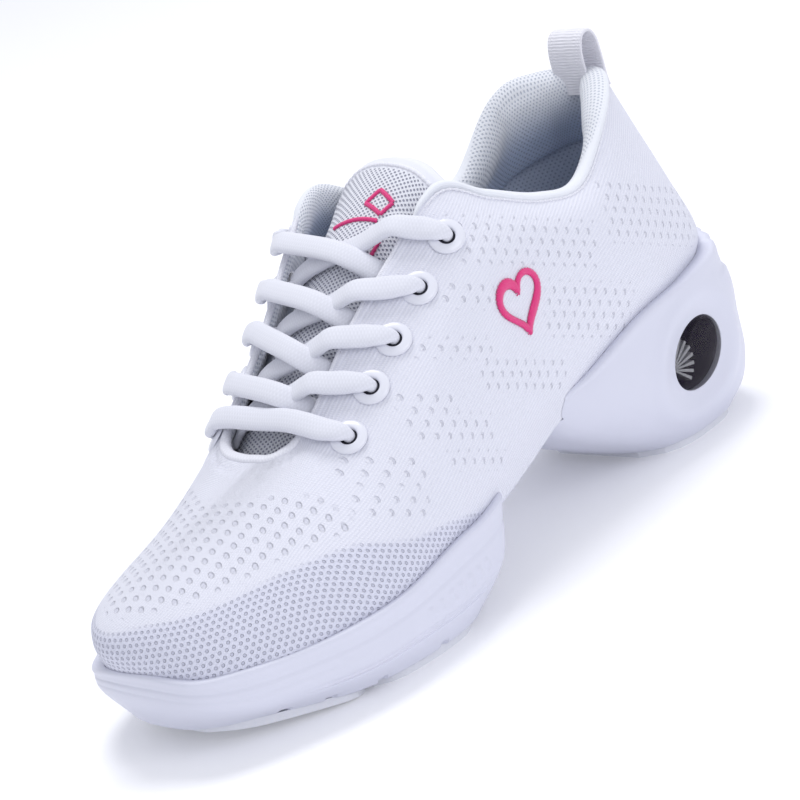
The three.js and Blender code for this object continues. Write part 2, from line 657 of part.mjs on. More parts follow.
function lacePath() {
  const W = LACE_WIDTH;
  const T = LACE_THICK;
  const R = LACE_ROUND;
  const hidden = -KNIT - LAYER_GAP - STIFFENER - GAP - T / 2;
  const other = { lateral: 'medial', medial: 'lateral' };

  // one strand from the lowest eyelet of a side up to the highest
  const strand = (first) => {
    const nodes = [];
    let side = first;
    for (let n = 0; n < 5; n += 1) {
      nodes.push(laceNode(side, n, 0, 1.5, R, R));
      nodes.push(laceNode(side, n, 0, -0.6, R, R));
      nodes.push(laceNode(side, n, 0, -3.3, R, R));
      if (n === 4) break;
      const over = side === 'lateral';
      const leave = n ? n - 0.3 : 0;
      const reach = over ? n + 0.6 : n + 0.35;
      for (const w of [0.12, 0.45, 0.82]) {
        const flat = W - 1.6 + 1.6 * Math.min(w * 1.6, 1);
        nodes.push(laceNode(side, n + (leave - n) * w, w, hidden - 0.2 * (1 - w), flat, T));
      }
      const rise = over ? OVER_RISE : UNDER_RISE;
      CROSSING.forEach((share, k) => nodes.push(crossingNode(side, leave, reach, share, rise[k])));
      side = other[side];
      for (const [w, h, flat] of [[0.8, 3.6, W], [0.5, 3.1, W], [0.2, 3, W - 1.6]]) {
        nodes.push(laceNode(side, n + 1 + (reach - n - 1) * w, w, h, flat, T));
      }
    }
    const last = facingAt(side, 4);
    for (const [dv, h] of [[-0.14, -5.2], [-0.5, -6.2], [-0.9, -6.4]]) {
      const p = upperOffset(last.u, last.v + dv, h);
      const along = unit(sub(upperPoint(last.u + 0.05, last.v), upperPoint(last.u - 0.05, last.v)));
      nodes.push({ p, side: along, wide: R + 0.4, thick: T });
    }
    return nodes;
  };

  const bar = [];
  for (const [side, w, h] of [['lateral', 0.17, 3.2], ['lateral', 0.5, 3.2], ['lateral', 0.9, 3.3]]) {
    bar.push(laceNode(side, 0, w, h, w < 0.3 ? W - 2 : W, T));
  }
  for (const [share, h] of [[0.08, 4], [0.5, 3.2], [0.92, 4.2]]) {
    bar.push(crossingNode('lateral', 0, 0, share, h));
  }
  for (const [side, w, h] of [['medial', 0.85, 3.8], ['medial', 0.5, 3.3], ['medial', 0.17, 3.2]]) {
    bar.push(laceNode(side, 0, w, h, w < 0.3 ? W - 2 : W, T));
  }
  return [...strand('lateral').reverse(), ...bar, ...strand('medial')];
}

// smooth the hand-laid nodes into a dense path
function densify(nodes, per) {
  const out = [];
  const ps = nodes.map((n) => n.p);
  const ss = nodes.map((n) => n.side);
  for (let k = 0; k < nodes.length - 1; k += 1) {
    for (let j = 0; j < per; j += 1) {
      const t = k + j / per;
      const f = j / per;
      out.push({
        p: curve(ps, t),
        side: unit(mix(ss[k], ss[k + 1], f)),
        wide: nodes[k].wide + (nodes[k + 1].wide - nodes[k].wide) * f,
        thick: nodes[k].thick + (nodes[k + 1].thick - nodes[k].thick) * f,
      });
    }
  }
  const tail = nodes[nodes.length - 1];
  out.push(tail);
  return out;
}

// ---------------------------------------------------------------------- collar pieces
function collarRoll() {
  const us = range(-4.75, 4.75, 28);
  const path = us.map((u) => {
    const p = upperOffset(u, 3.72, -KNIT - GAP - 3.3);
    const up = unit(sub(upperPoint(u, 4), upperPoint(u, 3.7)));
    const end = Math.min(1, (4.75 - Math.abs(u)) * 2 + 0.35);
    return { p: add(p, [0, 0, 1], 0.2), side: up, wide: 10.5 * end, thick: 5.6 * end };
  });
  return tube(path, 8);
}

function collarPiping() {
  const us = range(-WAIST_BACK + 0.05, WAIST_BACK - 0.05, 34);
  const path = us.map((u) => {
    const p = add(upperPoint(u, 4), upperNormal(u, 4), -KNIT / 2);
    const up = unit(sub(upperPoint(u, 4), upperPoint(u, 3.9)));
    return { p: add(p, up, 1.35), side: upperNormal(u, 4), wide: 2, thick: 1.8 };
  });
  return tube(path, 6);
}

// binding that runs round the throat edge from one facing top to the other
function throatBinding() {
  const us = range(WAIST_FRONT + 0.05, COLUMNS - WAIST_FRONT - 0.05, 44);
  const path = us.map((u) => {
    const p = add(upperPoint(u, 4), upperNormal(u, 4), -KNIT / 2);
    const out = unit(sub(upperPoint(u, 4), upperPoint(u, 3.93)));
    return { p: add(p, out, 1.32), side: upperNormal(u, 4), wide: 1.9, thick: 1.5 };
  });
  return tube(path, 6);
}

// ---------------------------------------------------------------------------- pull tab
const TAB = { back: 3.2, front: 11.6, base: 121.6, top: 131.5 };

function pullTab() {
  const outline = (grow) => {
    const out = [];
    const middle = (TAB.back + TAB.front) / 2;
    const radius = (TAB.front - TAB.back) / 2 + grow;
    const crown = TAB.top - (TAB.front - TAB.back) / 2 - TAB_THICK / 2;
    out.push([middle + radius, TAB.base]);
    for (let k = 0; k <= 10; k += 1) {
      const angle = Math.PI * k / 10;
      out.push([middle + radius * Math.cos(angle), crown + radius * Math.sin(angle)]);
    }
    out.push([middle - radius, TAB.base]);
    return out;
  };
  const grid = (grow) => outline(grow).map(([s, z]) => [-1, 0, 1].map((w) => place([
    w * TAB_WIDTH / 2, s, z])));
  return slab(grid(TAB_THICK / 2), grid(-TAB_THICK / 2));
}

// -------------------------------------------------------------------------- embroidery
const HEART = { s: 98, z: 78, size: 9.6, stroke: 1.25 };

// a closed outline laid on the outer face, as a flat ribbon
function heartPath() {
  const out = [];
  const count = 36;
  for (let k = 0; k < count; k += 1) {
    const t = 2 * Math.PI * k / count;
    const across = 16 * Math.sin(t) ** 3 / 16;
    const up = (13 * Math.cos(t) - 5 * Math.cos(2 * t) - 2 * Math.cos(3 * t) - Math.cos(4 * t)) / 16;
    out.push([across * HEART.size, up * HEART.size]);
  }
  return out;
}

// finds the outer face point at a given station and height on the outer side
function sidePoint(s, z) {
  let u = 5;
  let v = 2;
  for (let k = 0; k < 40; k += 1) {
    const p = upperPoint(u, v);
    const ds = (DATUM_Y - p[1]) - s;
    const dz = p[2] - z;
    u -= ds / 23;
    v -= dz / 22;
  }
  return { p: upperPoint(u, v), n: upperNormal(u, v) };
}

function heartStitch() {
  const line = heartPath();
  const n = line.length;
  const rings = line.map(([a, b], k) => {
    const [a0, b0] = line[(k + n - 1) % n];
    const [a1, b1] = line[(k + 1) % n];
    const length = Math.hypot(a1 - a0, b1 - b0);
    const nx = (b1 - b0) / length * HEART.stroke / 2;
    const ny = -(a1 - a0) / length * HEART.stroke / 2;
    const one = sidePoint(HEART.s + a + nx, HEART.z + b + ny);
    const two = sidePoint(HEART.s + a - nx, HEART.z + b - ny);
    return [add(one.p, one.n, 0.3), add(one.p, one.n, 0.9), add(two.p, two.n, 0.9), add(two.p, two.n, 0.3)];
  });
  const points = rings.flat();
  const faces = [];
  for (let k = 0; k < n; k += 1) {
    for (let j = 0; j < 4; j += 1) {
      const a = k * 4 + j;
      const b = k * 4 + (j + 1) % 4;
      const c = ((k + 1) % n) * 4 + (j + 1) % 4;
      const d = ((k + 1) % n) * 4 + j;
      faces.push([a, b, c], [a, c, d]);
    }
  }
  return geometry(points, faces);
}

// flat bar of thread on the tongue flap
function tongueBar() {
  const ws = range(-0.42, 0.42, 8);
  const rs = [1.02, 1.1, 1.18];
  const grid = (h) => rs.map((r) => ws.map((w) => add(tonguePoint(r, w), tongueNormal(r, w), h)));
  return slab(grid(0.9), grid(0.3));
}

function tongueDiamond() {
  const ws = range(-1, 1, 6);
  const rs = range(0.38, 0.9, 6);
  const middle = 0.64;
  const grid = (h) => rs.map((r) => {
    const reach = 0.06 + 0.3 * (1 - Math.abs(r - middle) / 0.26);
    return ws.map((w) => add(tonguePoint(r, w * reach), tongueNormal(r, w * reach), h));
  });
  return slab(grid(0.9), grid(0.3));
}

// ---------------------------------------------------------------------------- assembly
const drills = eyeletDrills();

// forefoot
put('forefoot_midsole', foreSole(), WHITE_FOAM);
put('forefoot_tread', tread(FORE_EDGE, 156, 198, () => 0), WHITE_RUBBER);
put('toe_tread', tread(FORE_EDGE, 201, 240, (s) => Math.max(0, (s - 201) * 0.12)), WHITE_RUBBER);
put('upper_front', cut(sheet(FRONT_US, ALL_VS, 0, -KNIT), drills), WHITE_KNIT);
const puffTop = -KNIT - LAYER_GAP;
put('toe_puff', sheet(range(10.6, 15.4, 16), range(0.15, 2.3, 6), puffTop, puffTop - STIFFENER), STIFF_BOARD);
const liningTop = puffTop - STIFFENER - LAYER_GAP;
put('vamp_lining', sheet(range(6.6, 19.4, 24), range(0.2, 2.9, 5), liningTop, liningTop - LINING), LINING_CLOTH);
put('eyestay_lateral', cut(eyestay('lateral'), drills), STIFF_BOARD);
put('eyestay_medial', cut(eyestay('medial'), drills), STIFF_BOARD);
put('throat_binding', throatBinding(), WHITE_KNIT);
put('strobel_board_front', footbed(6.7, 12.6, 2.1, -1.0, 0.3, 16), STIFF_BOARD);
for (const side of ['lateral', 'medial']) {
  HOLES[side].forEach((hole, k) => {
    const n = upperNormal(hole.u, hole.v);
    const centre = add(upperPoint(hole.u, hole.v), n, 0.45);
    put(`eyelet_${side}_${k + 1}`, washer(centre, n, EYELET_OUTER, EYELET_HOLE, EYELET_THICK), CLEAR_PLASTIC);
  });
}
const laceLine = densify(lacePath(), 2);
put('lace', tube(laceLine, 6), LACE_CLOTH);
put('tongue_lower', tonguePiece(range(1.75, 8, 20), 0, -4.6), WHITE_MESH);
put('tongue_tip', tonguePiece(range(0, 1.5, 6), 0, -4.6), WHITE_MESH);
put('tongue_bar', tongueBar(), PINK_THREAD);
put('tongue_diamond', tongueDiamond(), PINK_THREAD);

// waist and insole, the parts that bend with the arch
put('waist_band', waistBand(), WHITE_KNIT);
put('insole', footbed(0.9, 12.0, 6.3, 1.2, 4.6, 20), INSOLE_FOAM);

// rearfoot
put('heel_midsole', heelSole(), WHITE_FOAM);
put('heel_tread', tread(mirrorRing(HEEL_RINGS[0]), 3, 47, () => 0), WHITE_RUBBER);
put('cushion_lens_lateral', lens(1), SMOKE_PLASTIC);
put('cushion_lens_medial', lens(-1), SMOKE_PLASTIC);
put('cushion_core', cushionCore(), SILVER);
put('upper_rear', sheet(REAR_US, ALL_VS, 0, -KNIT), WHITE_KNIT);
const counterTop = puffTop - 0.15;
put('heel_counter', sheet(range(-3.4, 3.4, 20), range(0.15, 2.3, 6), counterTop, counterTop - STIFFENER), STIFF_BOARD);
put('heel_lining', sheet(range(-5.1, 5.1, 22), range(0.2, 2.85, 5), liningTop, liningTop - LINING), LINING_CLOTH);
put('strobel_board_rear', footbed(0.7, 5.0, 2.1, -1.0, 0.3, 12), STIFF_BOARD);
put('collar_padding', collarRoll(), WHITE_MESH);
put('collar_piping', collarPiping(), WHITE_KNIT);
put('heart_stitch', heartStitch(), PINK_THREAD);
put('pull_tab_anchor', sheet(range(-0.42, 0.42, 4), range(3.25, 3.92, 5), 1.3, 0.35), WHITE_KNIT);
put('pull_tab', pullTab(), LACE_CLOTH);

export default shoe;
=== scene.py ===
"""The looks of one dance and cheer sneaker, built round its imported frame.

Profiles are written in millimetres as [x, s, z]: s runs forward from a datum near the
back of the heel and x is positive on the outer side. place() moves them into the shoe's
own frame, and build() turns them into metres.
"""

import math

import bmesh
import bpy
import numpy as np
from mathutils import Matrix


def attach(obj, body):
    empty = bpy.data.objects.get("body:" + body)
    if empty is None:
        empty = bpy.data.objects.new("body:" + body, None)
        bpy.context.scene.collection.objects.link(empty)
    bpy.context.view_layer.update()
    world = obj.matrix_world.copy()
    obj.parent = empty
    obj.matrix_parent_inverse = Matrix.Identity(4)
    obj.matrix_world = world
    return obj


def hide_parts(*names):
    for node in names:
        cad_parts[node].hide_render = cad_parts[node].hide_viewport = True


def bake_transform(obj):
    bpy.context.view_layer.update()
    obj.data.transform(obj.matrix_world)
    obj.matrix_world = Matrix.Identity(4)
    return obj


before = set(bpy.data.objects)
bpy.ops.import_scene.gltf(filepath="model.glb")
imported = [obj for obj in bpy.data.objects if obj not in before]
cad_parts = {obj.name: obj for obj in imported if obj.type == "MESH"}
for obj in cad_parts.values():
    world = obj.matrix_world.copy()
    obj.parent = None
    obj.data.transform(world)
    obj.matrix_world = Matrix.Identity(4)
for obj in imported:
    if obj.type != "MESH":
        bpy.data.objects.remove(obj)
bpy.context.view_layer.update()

# ------------------------------------------------------------------ driving sizes, mm
DATUM = np.array([-4.335, 120.475, 0.0])
COLUMNS = 26  # columns of the upper's net, and so its u runs from 0 to 26 round the shoe
EDGE = 4.0  # the upper's v at its collar, facings and throat; it is 0 at the sole
KNIT = 1.6  # thickness
LINER_DEPTH = 4.2  # from the knit's outer face to the lining
LINER_THICK = 0.9
SOLE_GAP = 0.12  # between the foam units and the knit
SOLE_DROP = 1.1  # depth of the units' hollow below the upper's edge
WELD = 0.01  # distance that joins points where a unit's cap meets its rings
EYELET_OUTER = 5.6  # radii
EYELET_HOLE = 2.75
EYELET_SPOKES = 56
LACE_WIDTH = 7.4
LACE_THICK = 3.5
LACE_ROUND = 3.5  # diameter of the lace where an eyelet squeezes it round
LACE_SUNK = 3.4  # from the knit's inner face to a hidden strand, past the reinforcement
# centre and half sizes of the oval window, with its tilt in radians
WINDOW = {"s": 27.0, "z": 28.5, "long": 13.6, "high": 10.0, "tilt": 0.42}
WEBBING_WIDTH = 14.3
ROW_RISE = 0.467  # how fast the knit's rows climb towards the toe along the sides

# ------------------------------------------------------------------ camera and studio
CAMERA_ANGLES = (49.02, 18.48, -17.28)  # azimuth, elevation and roll, degrees
CAMERA_TARGET = (-4.335, -12.025, 60.0)  # mm
CAMERA_DISTANCE = 1099.87  # mm
CAMERA_LENS = 163.06
CAMERA_SHIFT = (0.0347, -0.001)
STUDIO_SIZE = 9000  # mm from the middle of the floor to its edges
MM = 0.001

# ------------------------------------------------------- the upper's control net, mm
# columns run from the back of the heel round the outer side to the toe and back
FEATHER = [[0, -2, 46], [19, 3, 46], [29, 24, 47], [32, 48, 45], [32, 70, 39], [33, 91, 35],
           [37, 116, 29], [44, 140, 27], [48, 162, 26], [49.5, 186, 22], [46, 208, 21],
           [38, 230, 22], [24, 246.8, 23.5], [-1, 250.8, 25.5], [-20, 243.6, 23], [-31.5, 229.5, 20.5],
           [-38, 206, 22], [-39, 182, 23], [-36, 160, 26], [-31, 138, 28], [-28, 116, 31],
           [-28, 92, 35], [-30, 71, 39], [-30, 48, 45], [-28, 24, 47], [-19, 3, 46]]
LOW = [[0, -8, 58], [21, -3.5, 58], [32, 23, 59], [36, 48, 58], [36, 70, 53], [37, 92, 49],
       [41, 116, 44], [46, 139, 40], [50, 161, 37], [50.5, 185, 33], [46, 207, 31],
       [37, 229, 31], [23, 246, 33], [-2, 254, 36.5], [-19, 246, 35.5], [-32, 230, 33],
       [-39, 205, 32], [-41, 182, 35], [-39, 160, 38], [-35, 138, 41], [-32, 116, 45],
       [-32, 92, 49], [-33, 71, 53], [-34, 48, 58], [-31, 23, 59], [-20, -2.5, 58]]
MIDDLE = [[0, -4, 78], [20, 2, 78], [31, 25, 77], [36, 48, 75], [37, 72, 72], [38, 94, 69],
          [41, 116, 65], [44, 138, 60], [46, 159, 54], [44, 180, 48], [39, 203, 44],
          [30, 224, 42], [17, 240, 43], [-3, 249, 43.5], [-17, 242, 43], [-29, 225, 42],
          [-35, 202, 43], [-37, 179, 48], [-38, 158, 55], [-37, 137, 60], [-36, 115, 66],
          [-35, 93, 70], [-35, 72, 73], [-35, 48, 76], [-31, 25, 78], [-20, 2, 78]]
HIGH = [[0, 2, 100], [16, 7, 100], [27, 27, 96], [33, 48, 89], [35, 70, 90], [36, 90, 94],
        [37, 110, 95], [36, 130, 85], [34, 151, 75], [31, 171, 64], [25, 192, 57.5],
        [16, 209, 55], [7, 223, 53], [-3, 229, 51.5], [-10, 224, 51.5], [-17, 210, 53],
        [-24, 193.5, 56], [-29, 172, 63], [-31.5, 151, 75], [-34, 130, 85], [-36.5, 110, 95],
        [-35.5, 90, 94], [-34, 70, 90], [-33, 48, 89], [-28, 27, 97], [-16, 7, 100]]
TOP = [[0, 5, 117], [13, 11, 117.5], [23, 27, 110], [27, 49, 97], [28, 68, 100],
       [27, 88, 109.5], [22, 103, 117.5], [18, 124, 104], [16, 147, 90], [15, 168, 74],
       [12, 176, 67.5], [8, 180, 65], [4, 181.5, 64], [0, 182, 64], [-5.5, 182.5, 64.2],
       [-12.5, 181.5, 65.2], [-17, 177.5, 68], [-19, 169.5, 74], [-20, 148.5, 90.5],
       [-26, 126.5, 105.5], [-30.5, 105.5, 117.5], [-29.5, 88, 109.5], [-28, 68, 100],
       [-27, 48, 97], [-25, 27, 113], [-14, 12, 118]]
NET = [np.array(row, float) for row in (FEATHER, LOW, MIDDLE, HIGH, TOP)]

# eyelet centres, bottom to top
EYELETS = {"lateral": [[28.3, 170.1, 66.2], [28.3, 156.1, 75.8], [28.3, 142.3, 84.9],
                       [28.5, 126.8, 94.8], [30.2, 111.8, 105]],
           "medial": [[-23.9, 174.2, 66.4], [-24.9, 159, 76.5], [-25.5, 146.9, 85.5],
                      [-28.3, 132.6, 94.6], [-31.7, 115.6, 106]]}

# tongue rows from the top edge down, each from the inner edge to the outer edge
TONGUE = [[[-20.5, 96, 118.5], [-13, 92.5, 122.6], [-3, 91.5, 123.8], [9, 92.5, 122.2],
           [18.5, 95.5, 117.5]],
          [[-23, 103, 113.4], [-14.5, 99.7, 118.8], [-4, 99, 120.5], [8.5, 99.7, 118.4],
           [19.5, 102.5, 112.4]],
          [[-25.5, 112, 102.5], [-15.5, 110, 111.4], [-4, 109, 114], [8, 109.5, 111],
           [20.5, 111.5, 101.5]],
          [[-25.5, 126, 90.5], [-15.5, 126.5, 99], [-4, 126, 102], [7.5, 126, 98.6],
           [20, 125, 89.5]],
          [[-25, 141.5, 78], [-15, 144, 86], [-4, 144, 89], [7, 143.5, 85.4], [19, 140.5, 77]],
          [[-25, 154, 67.5], [-15, 157.5, 75], [-4, 158, 77.5], [6.5, 157, 74.2], [18, 153, 66.5]],
          [[-23.5, 166, 57], [-14, 169.5, 64], [-3.5, 170, 66.3], [6.5, 168.5, 63.3],
           [17.5, 165, 55.8]],
          [[-22, 176, 49], [-13, 179.5, 55.8], [-3, 180, 57.6], [6.5, 178.5, 55.2], [17, 175, 48]],
          [[-21, 186, 45], [-12, 190, 51], [-3, 191, 52.5], [6, 189, 50.6], [16, 185, 44.5]]]

FORE_RIM = [[5, 131, 29], [28, 131, 29], [44, 133.5, 31], [49, 146, 29.5], [51.3, 162, 29],
            [52.3, 186, 25.5], [49.3, 205, 24.5], [42.5, 223, 24.5], [34.5, 238, 25.5],
            [24, 249.3, 26.5], [8, 252.8, 29], [-9, 251.8, 28.6], [-24, 245.7, 25.4],
            [-34.5, 232.5, 24.4], [-41, 217, 25.5], [-43.5, 195, 25], [-43, 172, 27.5],
            [-40, 152, 29.5], [-35.5, 135.5, 31], [-18, 131, 29]]
FORE_SIDE = [[5, 137, 15], [28, 137, 15], [45.5, 141, 15], [49.6, 151, 14], [51.6, 164, 13],
             [52, 186, 12.5], [48.5, 205, 12], [41.5, 223, 13], [33.5, 238, 14],
             [23, 248.5, 17], [8, 252, 19], [-9, 251.5, 20], [-24, 245.5, 18.5],
             [-35, 234, 17], [-41, 217, 14], [-43.5, 195, 12], [-43, 172, 13],
             [-40.5, 154, 14], [-36.5, 141, 15], [-18, 137, 15]]
FORE_EDGE = [[5, 153, 3.6], [26, 152.5, 3.6], [42, 154, 3.6], [47, 160, 3.4], [48.6, 171, 3.2],
             [47.5, 186, 3.2], [43, 203, 3.4], [36, 217, 5], [27, 231, 7], [17, 240, 7.2],
             [5, 244.5, 7.6], [-9, 246, 9.8], [-20, 240.5, 10], [-29, 230, 9],
             [-35.5, 214, 6], [-39.5, 195, 3.8], [-40, 176, 3.2], [-38.5, 162, 3.4],
             [-34, 154, 3.6], [-16, 152.5, 3.6]]

# half rings of the heel unit from its front centre to its back centre
HEEL_RINGS = [[[0, 52, 3.2], [15, 50.5, 3.2], [26.5, 45, 3.2], [31.5, 35, 3.2], [32, 25, 3.2],
               [30.5, 14, 3.4], [24, 5, 3.8], [13, 0, 4], [0, -1.5, 4]],
              [[0, 62, 9], [16.5, 61, 9], [28.5, 55, 9], [34.5, 41, 9], [35.5, 27, 9],
               [34, 13, 9], [28, 1, 9], [15.5, -5.5, 9], [0, -8, 9]],
              [[0, 76, 17], [17, 75, 17], [30, 70, 17.5], [36.2, 51, 17.5], [37.5, 32, 17.5],
               [36.3, 14, 17.5], [30, -1, 17.5], [17, -9, 17.5], [0, -11.6, 17.5]],
              [[0, 89, 25.5], [17, 89, 26], [30.5, 86, 27], [36.8, 66, 27.5], [38.2, 40, 27.5],
               [37, 15, 27.5], [30, -2, 27.5], [17, -10.2, 27.5], [0, -12.8, 27.5]],
              [[0, 97, 31], [17, 97, 32], [31, 93.5, 35.5], [36.5, 75, 37.5], [37.8, 45, 38.5],
               [36.2, 16, 38.5], [29.5, -2.6, 38], [16.5, -10.4, 38], [0, -12.8, 38]],
              [[0, 98.5, 33.5], [17, 98, 35.5], [31.5, 92.5, 40], [36, 76, 43], [37, 48, 50],
               [34.6, 19, 51.5], [27.5, -2, 52.5], [16.5, -9.2, 56], [0, -11.8, 58]]]


# ---------------------------------------------------------------------- vector tools
def cubic(a, b, c, d, f):
    """Catmull-Rom point at the share f of the way from b to c."""
    return 0.5 * (2 * b + (c - a) * f + (2 * a - 5 * b + 4 * c - d) * f ** 2
                  + (3 * b - a - 3 * c + d) * f ** 3)


def catmull(points, t, closed=False):
    """Catmull-Rom curve through points at the parameters t."""
    p = np.asarray(points, float)
    t = np.asarray(t, float)
    n = len(p)
    if closed:
        i = np.floor(t).astype(int)
        a, b, c, d = (p[(i + k) % n] for k in (-1, 0, 1, 2))
    else:
        p = np.concatenate([[2 * p[0] - p[1]], p, [2 * p[-1] - p[-2]]])
        i = np.clip(np.floor(t).astype(int), 0, n - 2)
        a, b, c, d = (p[i + k + 1] for k in (-1, 0, 1, 2))
    return cubic(a, b, c, d, (t - i).reshape(t.shape + (1,) * (a.ndim - t.ndim)))


def run_length(points):
    """Distance along a row of points, from 0 at its first."""
    return np.concatenate([[0], np.cumsum(np.linalg.norm(np.diff(points, axis=0), axis=1))])


def climb_length(table):
    """Distance along each row of a table of points, from 0 at its first."""
    steps = np.cumsum(np.linalg.norm(np.diff(table, axis=1), axis=2), axis=1)
    return np.concatenate([np.zeros((len(table), 1)), steps], 1)


def unit(v):
    """Vectors of length 1 in the same directions."""
    return v / np.maximum(np.linalg.norm(v, axis=-1, keepdims=True), 1e-9)


def place(p):
    """Profile millimetres to the shoe's own frame, still in millimetres."""
    p = np.asarray(p, float)
    return np.stack([p[..., 0] + DATUM[0], DATUM[1] - p[..., 1], p[..., 2]], -1)


def smooth(t):
    """Smooth rise from 0 at t = 0 to 1 at t = 1."""
    t = np.clip(t, 0, 1)
    return t * t * (3 - 2 * t)


def ridge(x, centre, width):
    """Rounded bump of height 1 at centre."""
    return np.exp(-((x - centre) / width) ** 2)


def between_rows(rows, v):
    """Shoe-frame points at v between stacked rows of profile points."""
    rows = np.concatenate([[2 * rows[0] - rows[1]], rows, [2 * rows[-1] - rows[-2]]])
    i = np.clip(np.floor(v).astype(int), 0, len(rows) - 4)
    a, b, c, d = (np.take_along_axis(rows, np.repeat((i + k)[None, ..., None], 3, -1), 0)[0]
                  for k in range(4))
    return place(cubic(a, b, c, d, (v - i)[..., None]))


def upper(u, v):
    """Points of the upper's outer face in the shoe's frame, in millimetres."""
    u, v = np.broadcast_arrays(np.asarray(u, float), np.asarray(v, float))
    return between_rows(np.stack([catmull(row, u, True) for row in NET]), v)


def upper_normal(u, v):
    """Directions square to the upper's outer face, pointing out."""
    u, v = np.broadcast_arrays(np.asarray(u, float), np.asarray(v, float))
    along = upper(u + 0.02, v) - upper(u - 0.02, v)
    up = upper(u, np.minimum(v + 0.02, 4)) - upper(u, np.maximum(v - 0.02, 0))
    return unit(np.cross(up, along))


def offset(u, v, h):
    """Points h millimetres outside the upper's face."""
    h = np.asarray(h, float)
    return upper(u, v) + upper_normal(u, v) * (h[..., None] if h.ndim else h)


# ------------------------------------------------------------------------ mesh makers
def grid_cells(rows, cols, wrap_rows, wrap_cols):
    """Row and column of each cell of a grid, whose last cells may close it."""
    r = np.arange(rows if wrap_rows else rows - 1)
    c = np.arange(cols if wrap_cols else cols - 1)
    return (k.ravel() for k in np.meshgrid(r, c, indexing="ij"))


def grid_faces(rows, cols, wrap_rows=False, wrap_cols=False):
    """Quads of a rows x cols grid of points, as an array of point numbers."""
    r, c = grid_cells(rows, cols, wrap_rows, wrap_cols)
    r2, c2 = (r + 1) % rows, (c + 1) % cols
    return np.stack([r * cols + c, r * cols + c2, r2 * cols + c2, r2 * cols + c], 1)


def grid_corners(rows, cols, values, wrap_rows=False, wrap_cols=False):
    """A pair for each corner of grid_faces, from a table one entry longer where it wraps."""
    r, c = grid_cells(rows, cols, wrap_rows, wrap_cols)
    corners = [values[r, c], values[r, c + 1], values[r + 1, c + 1], values[r + 1, c]]
    return np.stack(corners, 1).reshape(-1, 2)


def flat_map(across, climb):
    """Pairs of distance across and distance up for a grid of points."""
    return np.stack([np.broadcast_to(across[:, None], climb.shape), climb], -1)


def both_sides(flat):
    """The map of a sheet's front, run on over its back and round to the front again."""
    return np.concatenate([flat, flat[:, ::-1], flat[:, :1]], 1)


def face_pairs(flat, faces):
    """A pair for each corner of faces, from a pair for each point."""
    return np.array([[flat[k] for k in face] for face in faces]).reshape(-1, 2)


def build(name, points, faces, material, maps=None, masks=None, weld=0.0):
    """A smooth mesh object from millimetre points.

    maps hold a pair for each face corner and masks a number for each point; corners and
    points past the end of a table, which are those of end caps, get zeros.
    """
    mesh = bpy.data.meshes.new(name)
    mesh.from_pydata((np.asarray(points) * MM).tolist(), [], [list(map(int, f)) for f in faces])
    for key, table in (maps or {}).items():
        flat = np.zeros((len(mesh.loops), 2), np.float32)
        flat[:len(table)] = table
        mesh.uv_layers.new(name=key).data.foreach_set("uv", flat.ravel())
    for key, values in (masks or {}).items():
        mask = np.zeros(len(mesh.vertices), np.float32)
        mask[:values.size] = values.ravel()
        mesh.attributes.new(key, "FLOAT", "POINT").data.foreach_set("value", mask)
    bm = bmesh.new()
    bm.from_mesh(mesh)
    if weld:
        bmesh.ops.remove_doubles(bm, verts=bm.verts, dist=weld * MM)
    bmesh.ops.recalc_face_normals(bm, faces=bm.faces)
    if bm.calc_volume(signed=True) < 0:
        bmesh.ops.reverse_faces(bm, faces=bm.faces)
    for face in bm.faces:
        face.smooth = True
    bm.to_mesh(mesh)
    bm.free()
    for one in material if isinstance(material, (list, tuple)) else [material]:
        mesh.materials.append(one)
    obj = bpy.data.objects.new(name, mesh)
    bpy.context.scene.collection.objects.link(obj)
    return obj


def sweep(rings, closed_path=False):
    """Points and faces of a tube through rings of equal length, with fanned end caps."""
    rings = np.asarray(rings)
    rows, cols = rings.shape[:2]
    points = rings.reshape(-1, 3)
    faces = grid_faces(rows, cols, closed_path, True).tolist()
    if not closed_path:
        ends = [rings[0].mean(0), rings[-1].mean(0)]
        points = np.concatenate([points, ends])
        first, last = rows * cols, rows * cols + 1
        for c in range(cols):
            d = (c + 1) % cols
            faces.append([first, c, d])
            faces.append([last, (rows - 1) * cols + d, (rows - 1) * cols + c])
    return points, faces


def tube_rings(path, side, wide, thick, corners=20, power=2.0):
    """Rings of an oval section along a path; side is the direction of its width."""
    path = np.asarray(path)
    forward = unit(np.gradient(path, axis=0))
    up = unit(np.cross(forward, side))
    across = unit(np.cross(up, forward))
    angle = 2 * math.pi * np.arange(corners) / corners
    cx = np.sign(np.cos(angle)) * np.abs(np.cos(angle)) ** (2 / power)
    cy = np.sign(np.sin(angle)) * np.abs(np.sin(angle)) ** (2 / power)
    wide = np.broadcast_to(wide, len(path))
    thick = np.broadcast_to(thick, len(path))
    return (path[:, None] + across[:, None] * (cx[None, :, None] * wide[:, None, None] / 2)
            + up[:, None] * (cy[None, :, None] * thick[:, None, None] / 2))


def tube_maps(path, rings, corners):
    """A map of distance along the tube and round it, for its side faces only."""
    along = run_length(path)
    girth = np.linalg.norm(np.diff(rings[len(rings) // 2], axis=0), axis=1).sum()
    table = np.stack(np.meshgrid(along, np.linspace(0, girth, corners + 1), indexing="ij"), -1)
    return grid_corners(len(rings), corners, table, False, True)


def tube(name, path, side, wide, thick, corners, material, power=2.0):
    """Closed tube of an oval section along a path."""
    rings = tube_rings(path, side, wide, thick, corners, power)
    points, faces = sweep(rings)
    return build(name, points, faces, material, {"flat": tube_maps(path, rings, corners)})


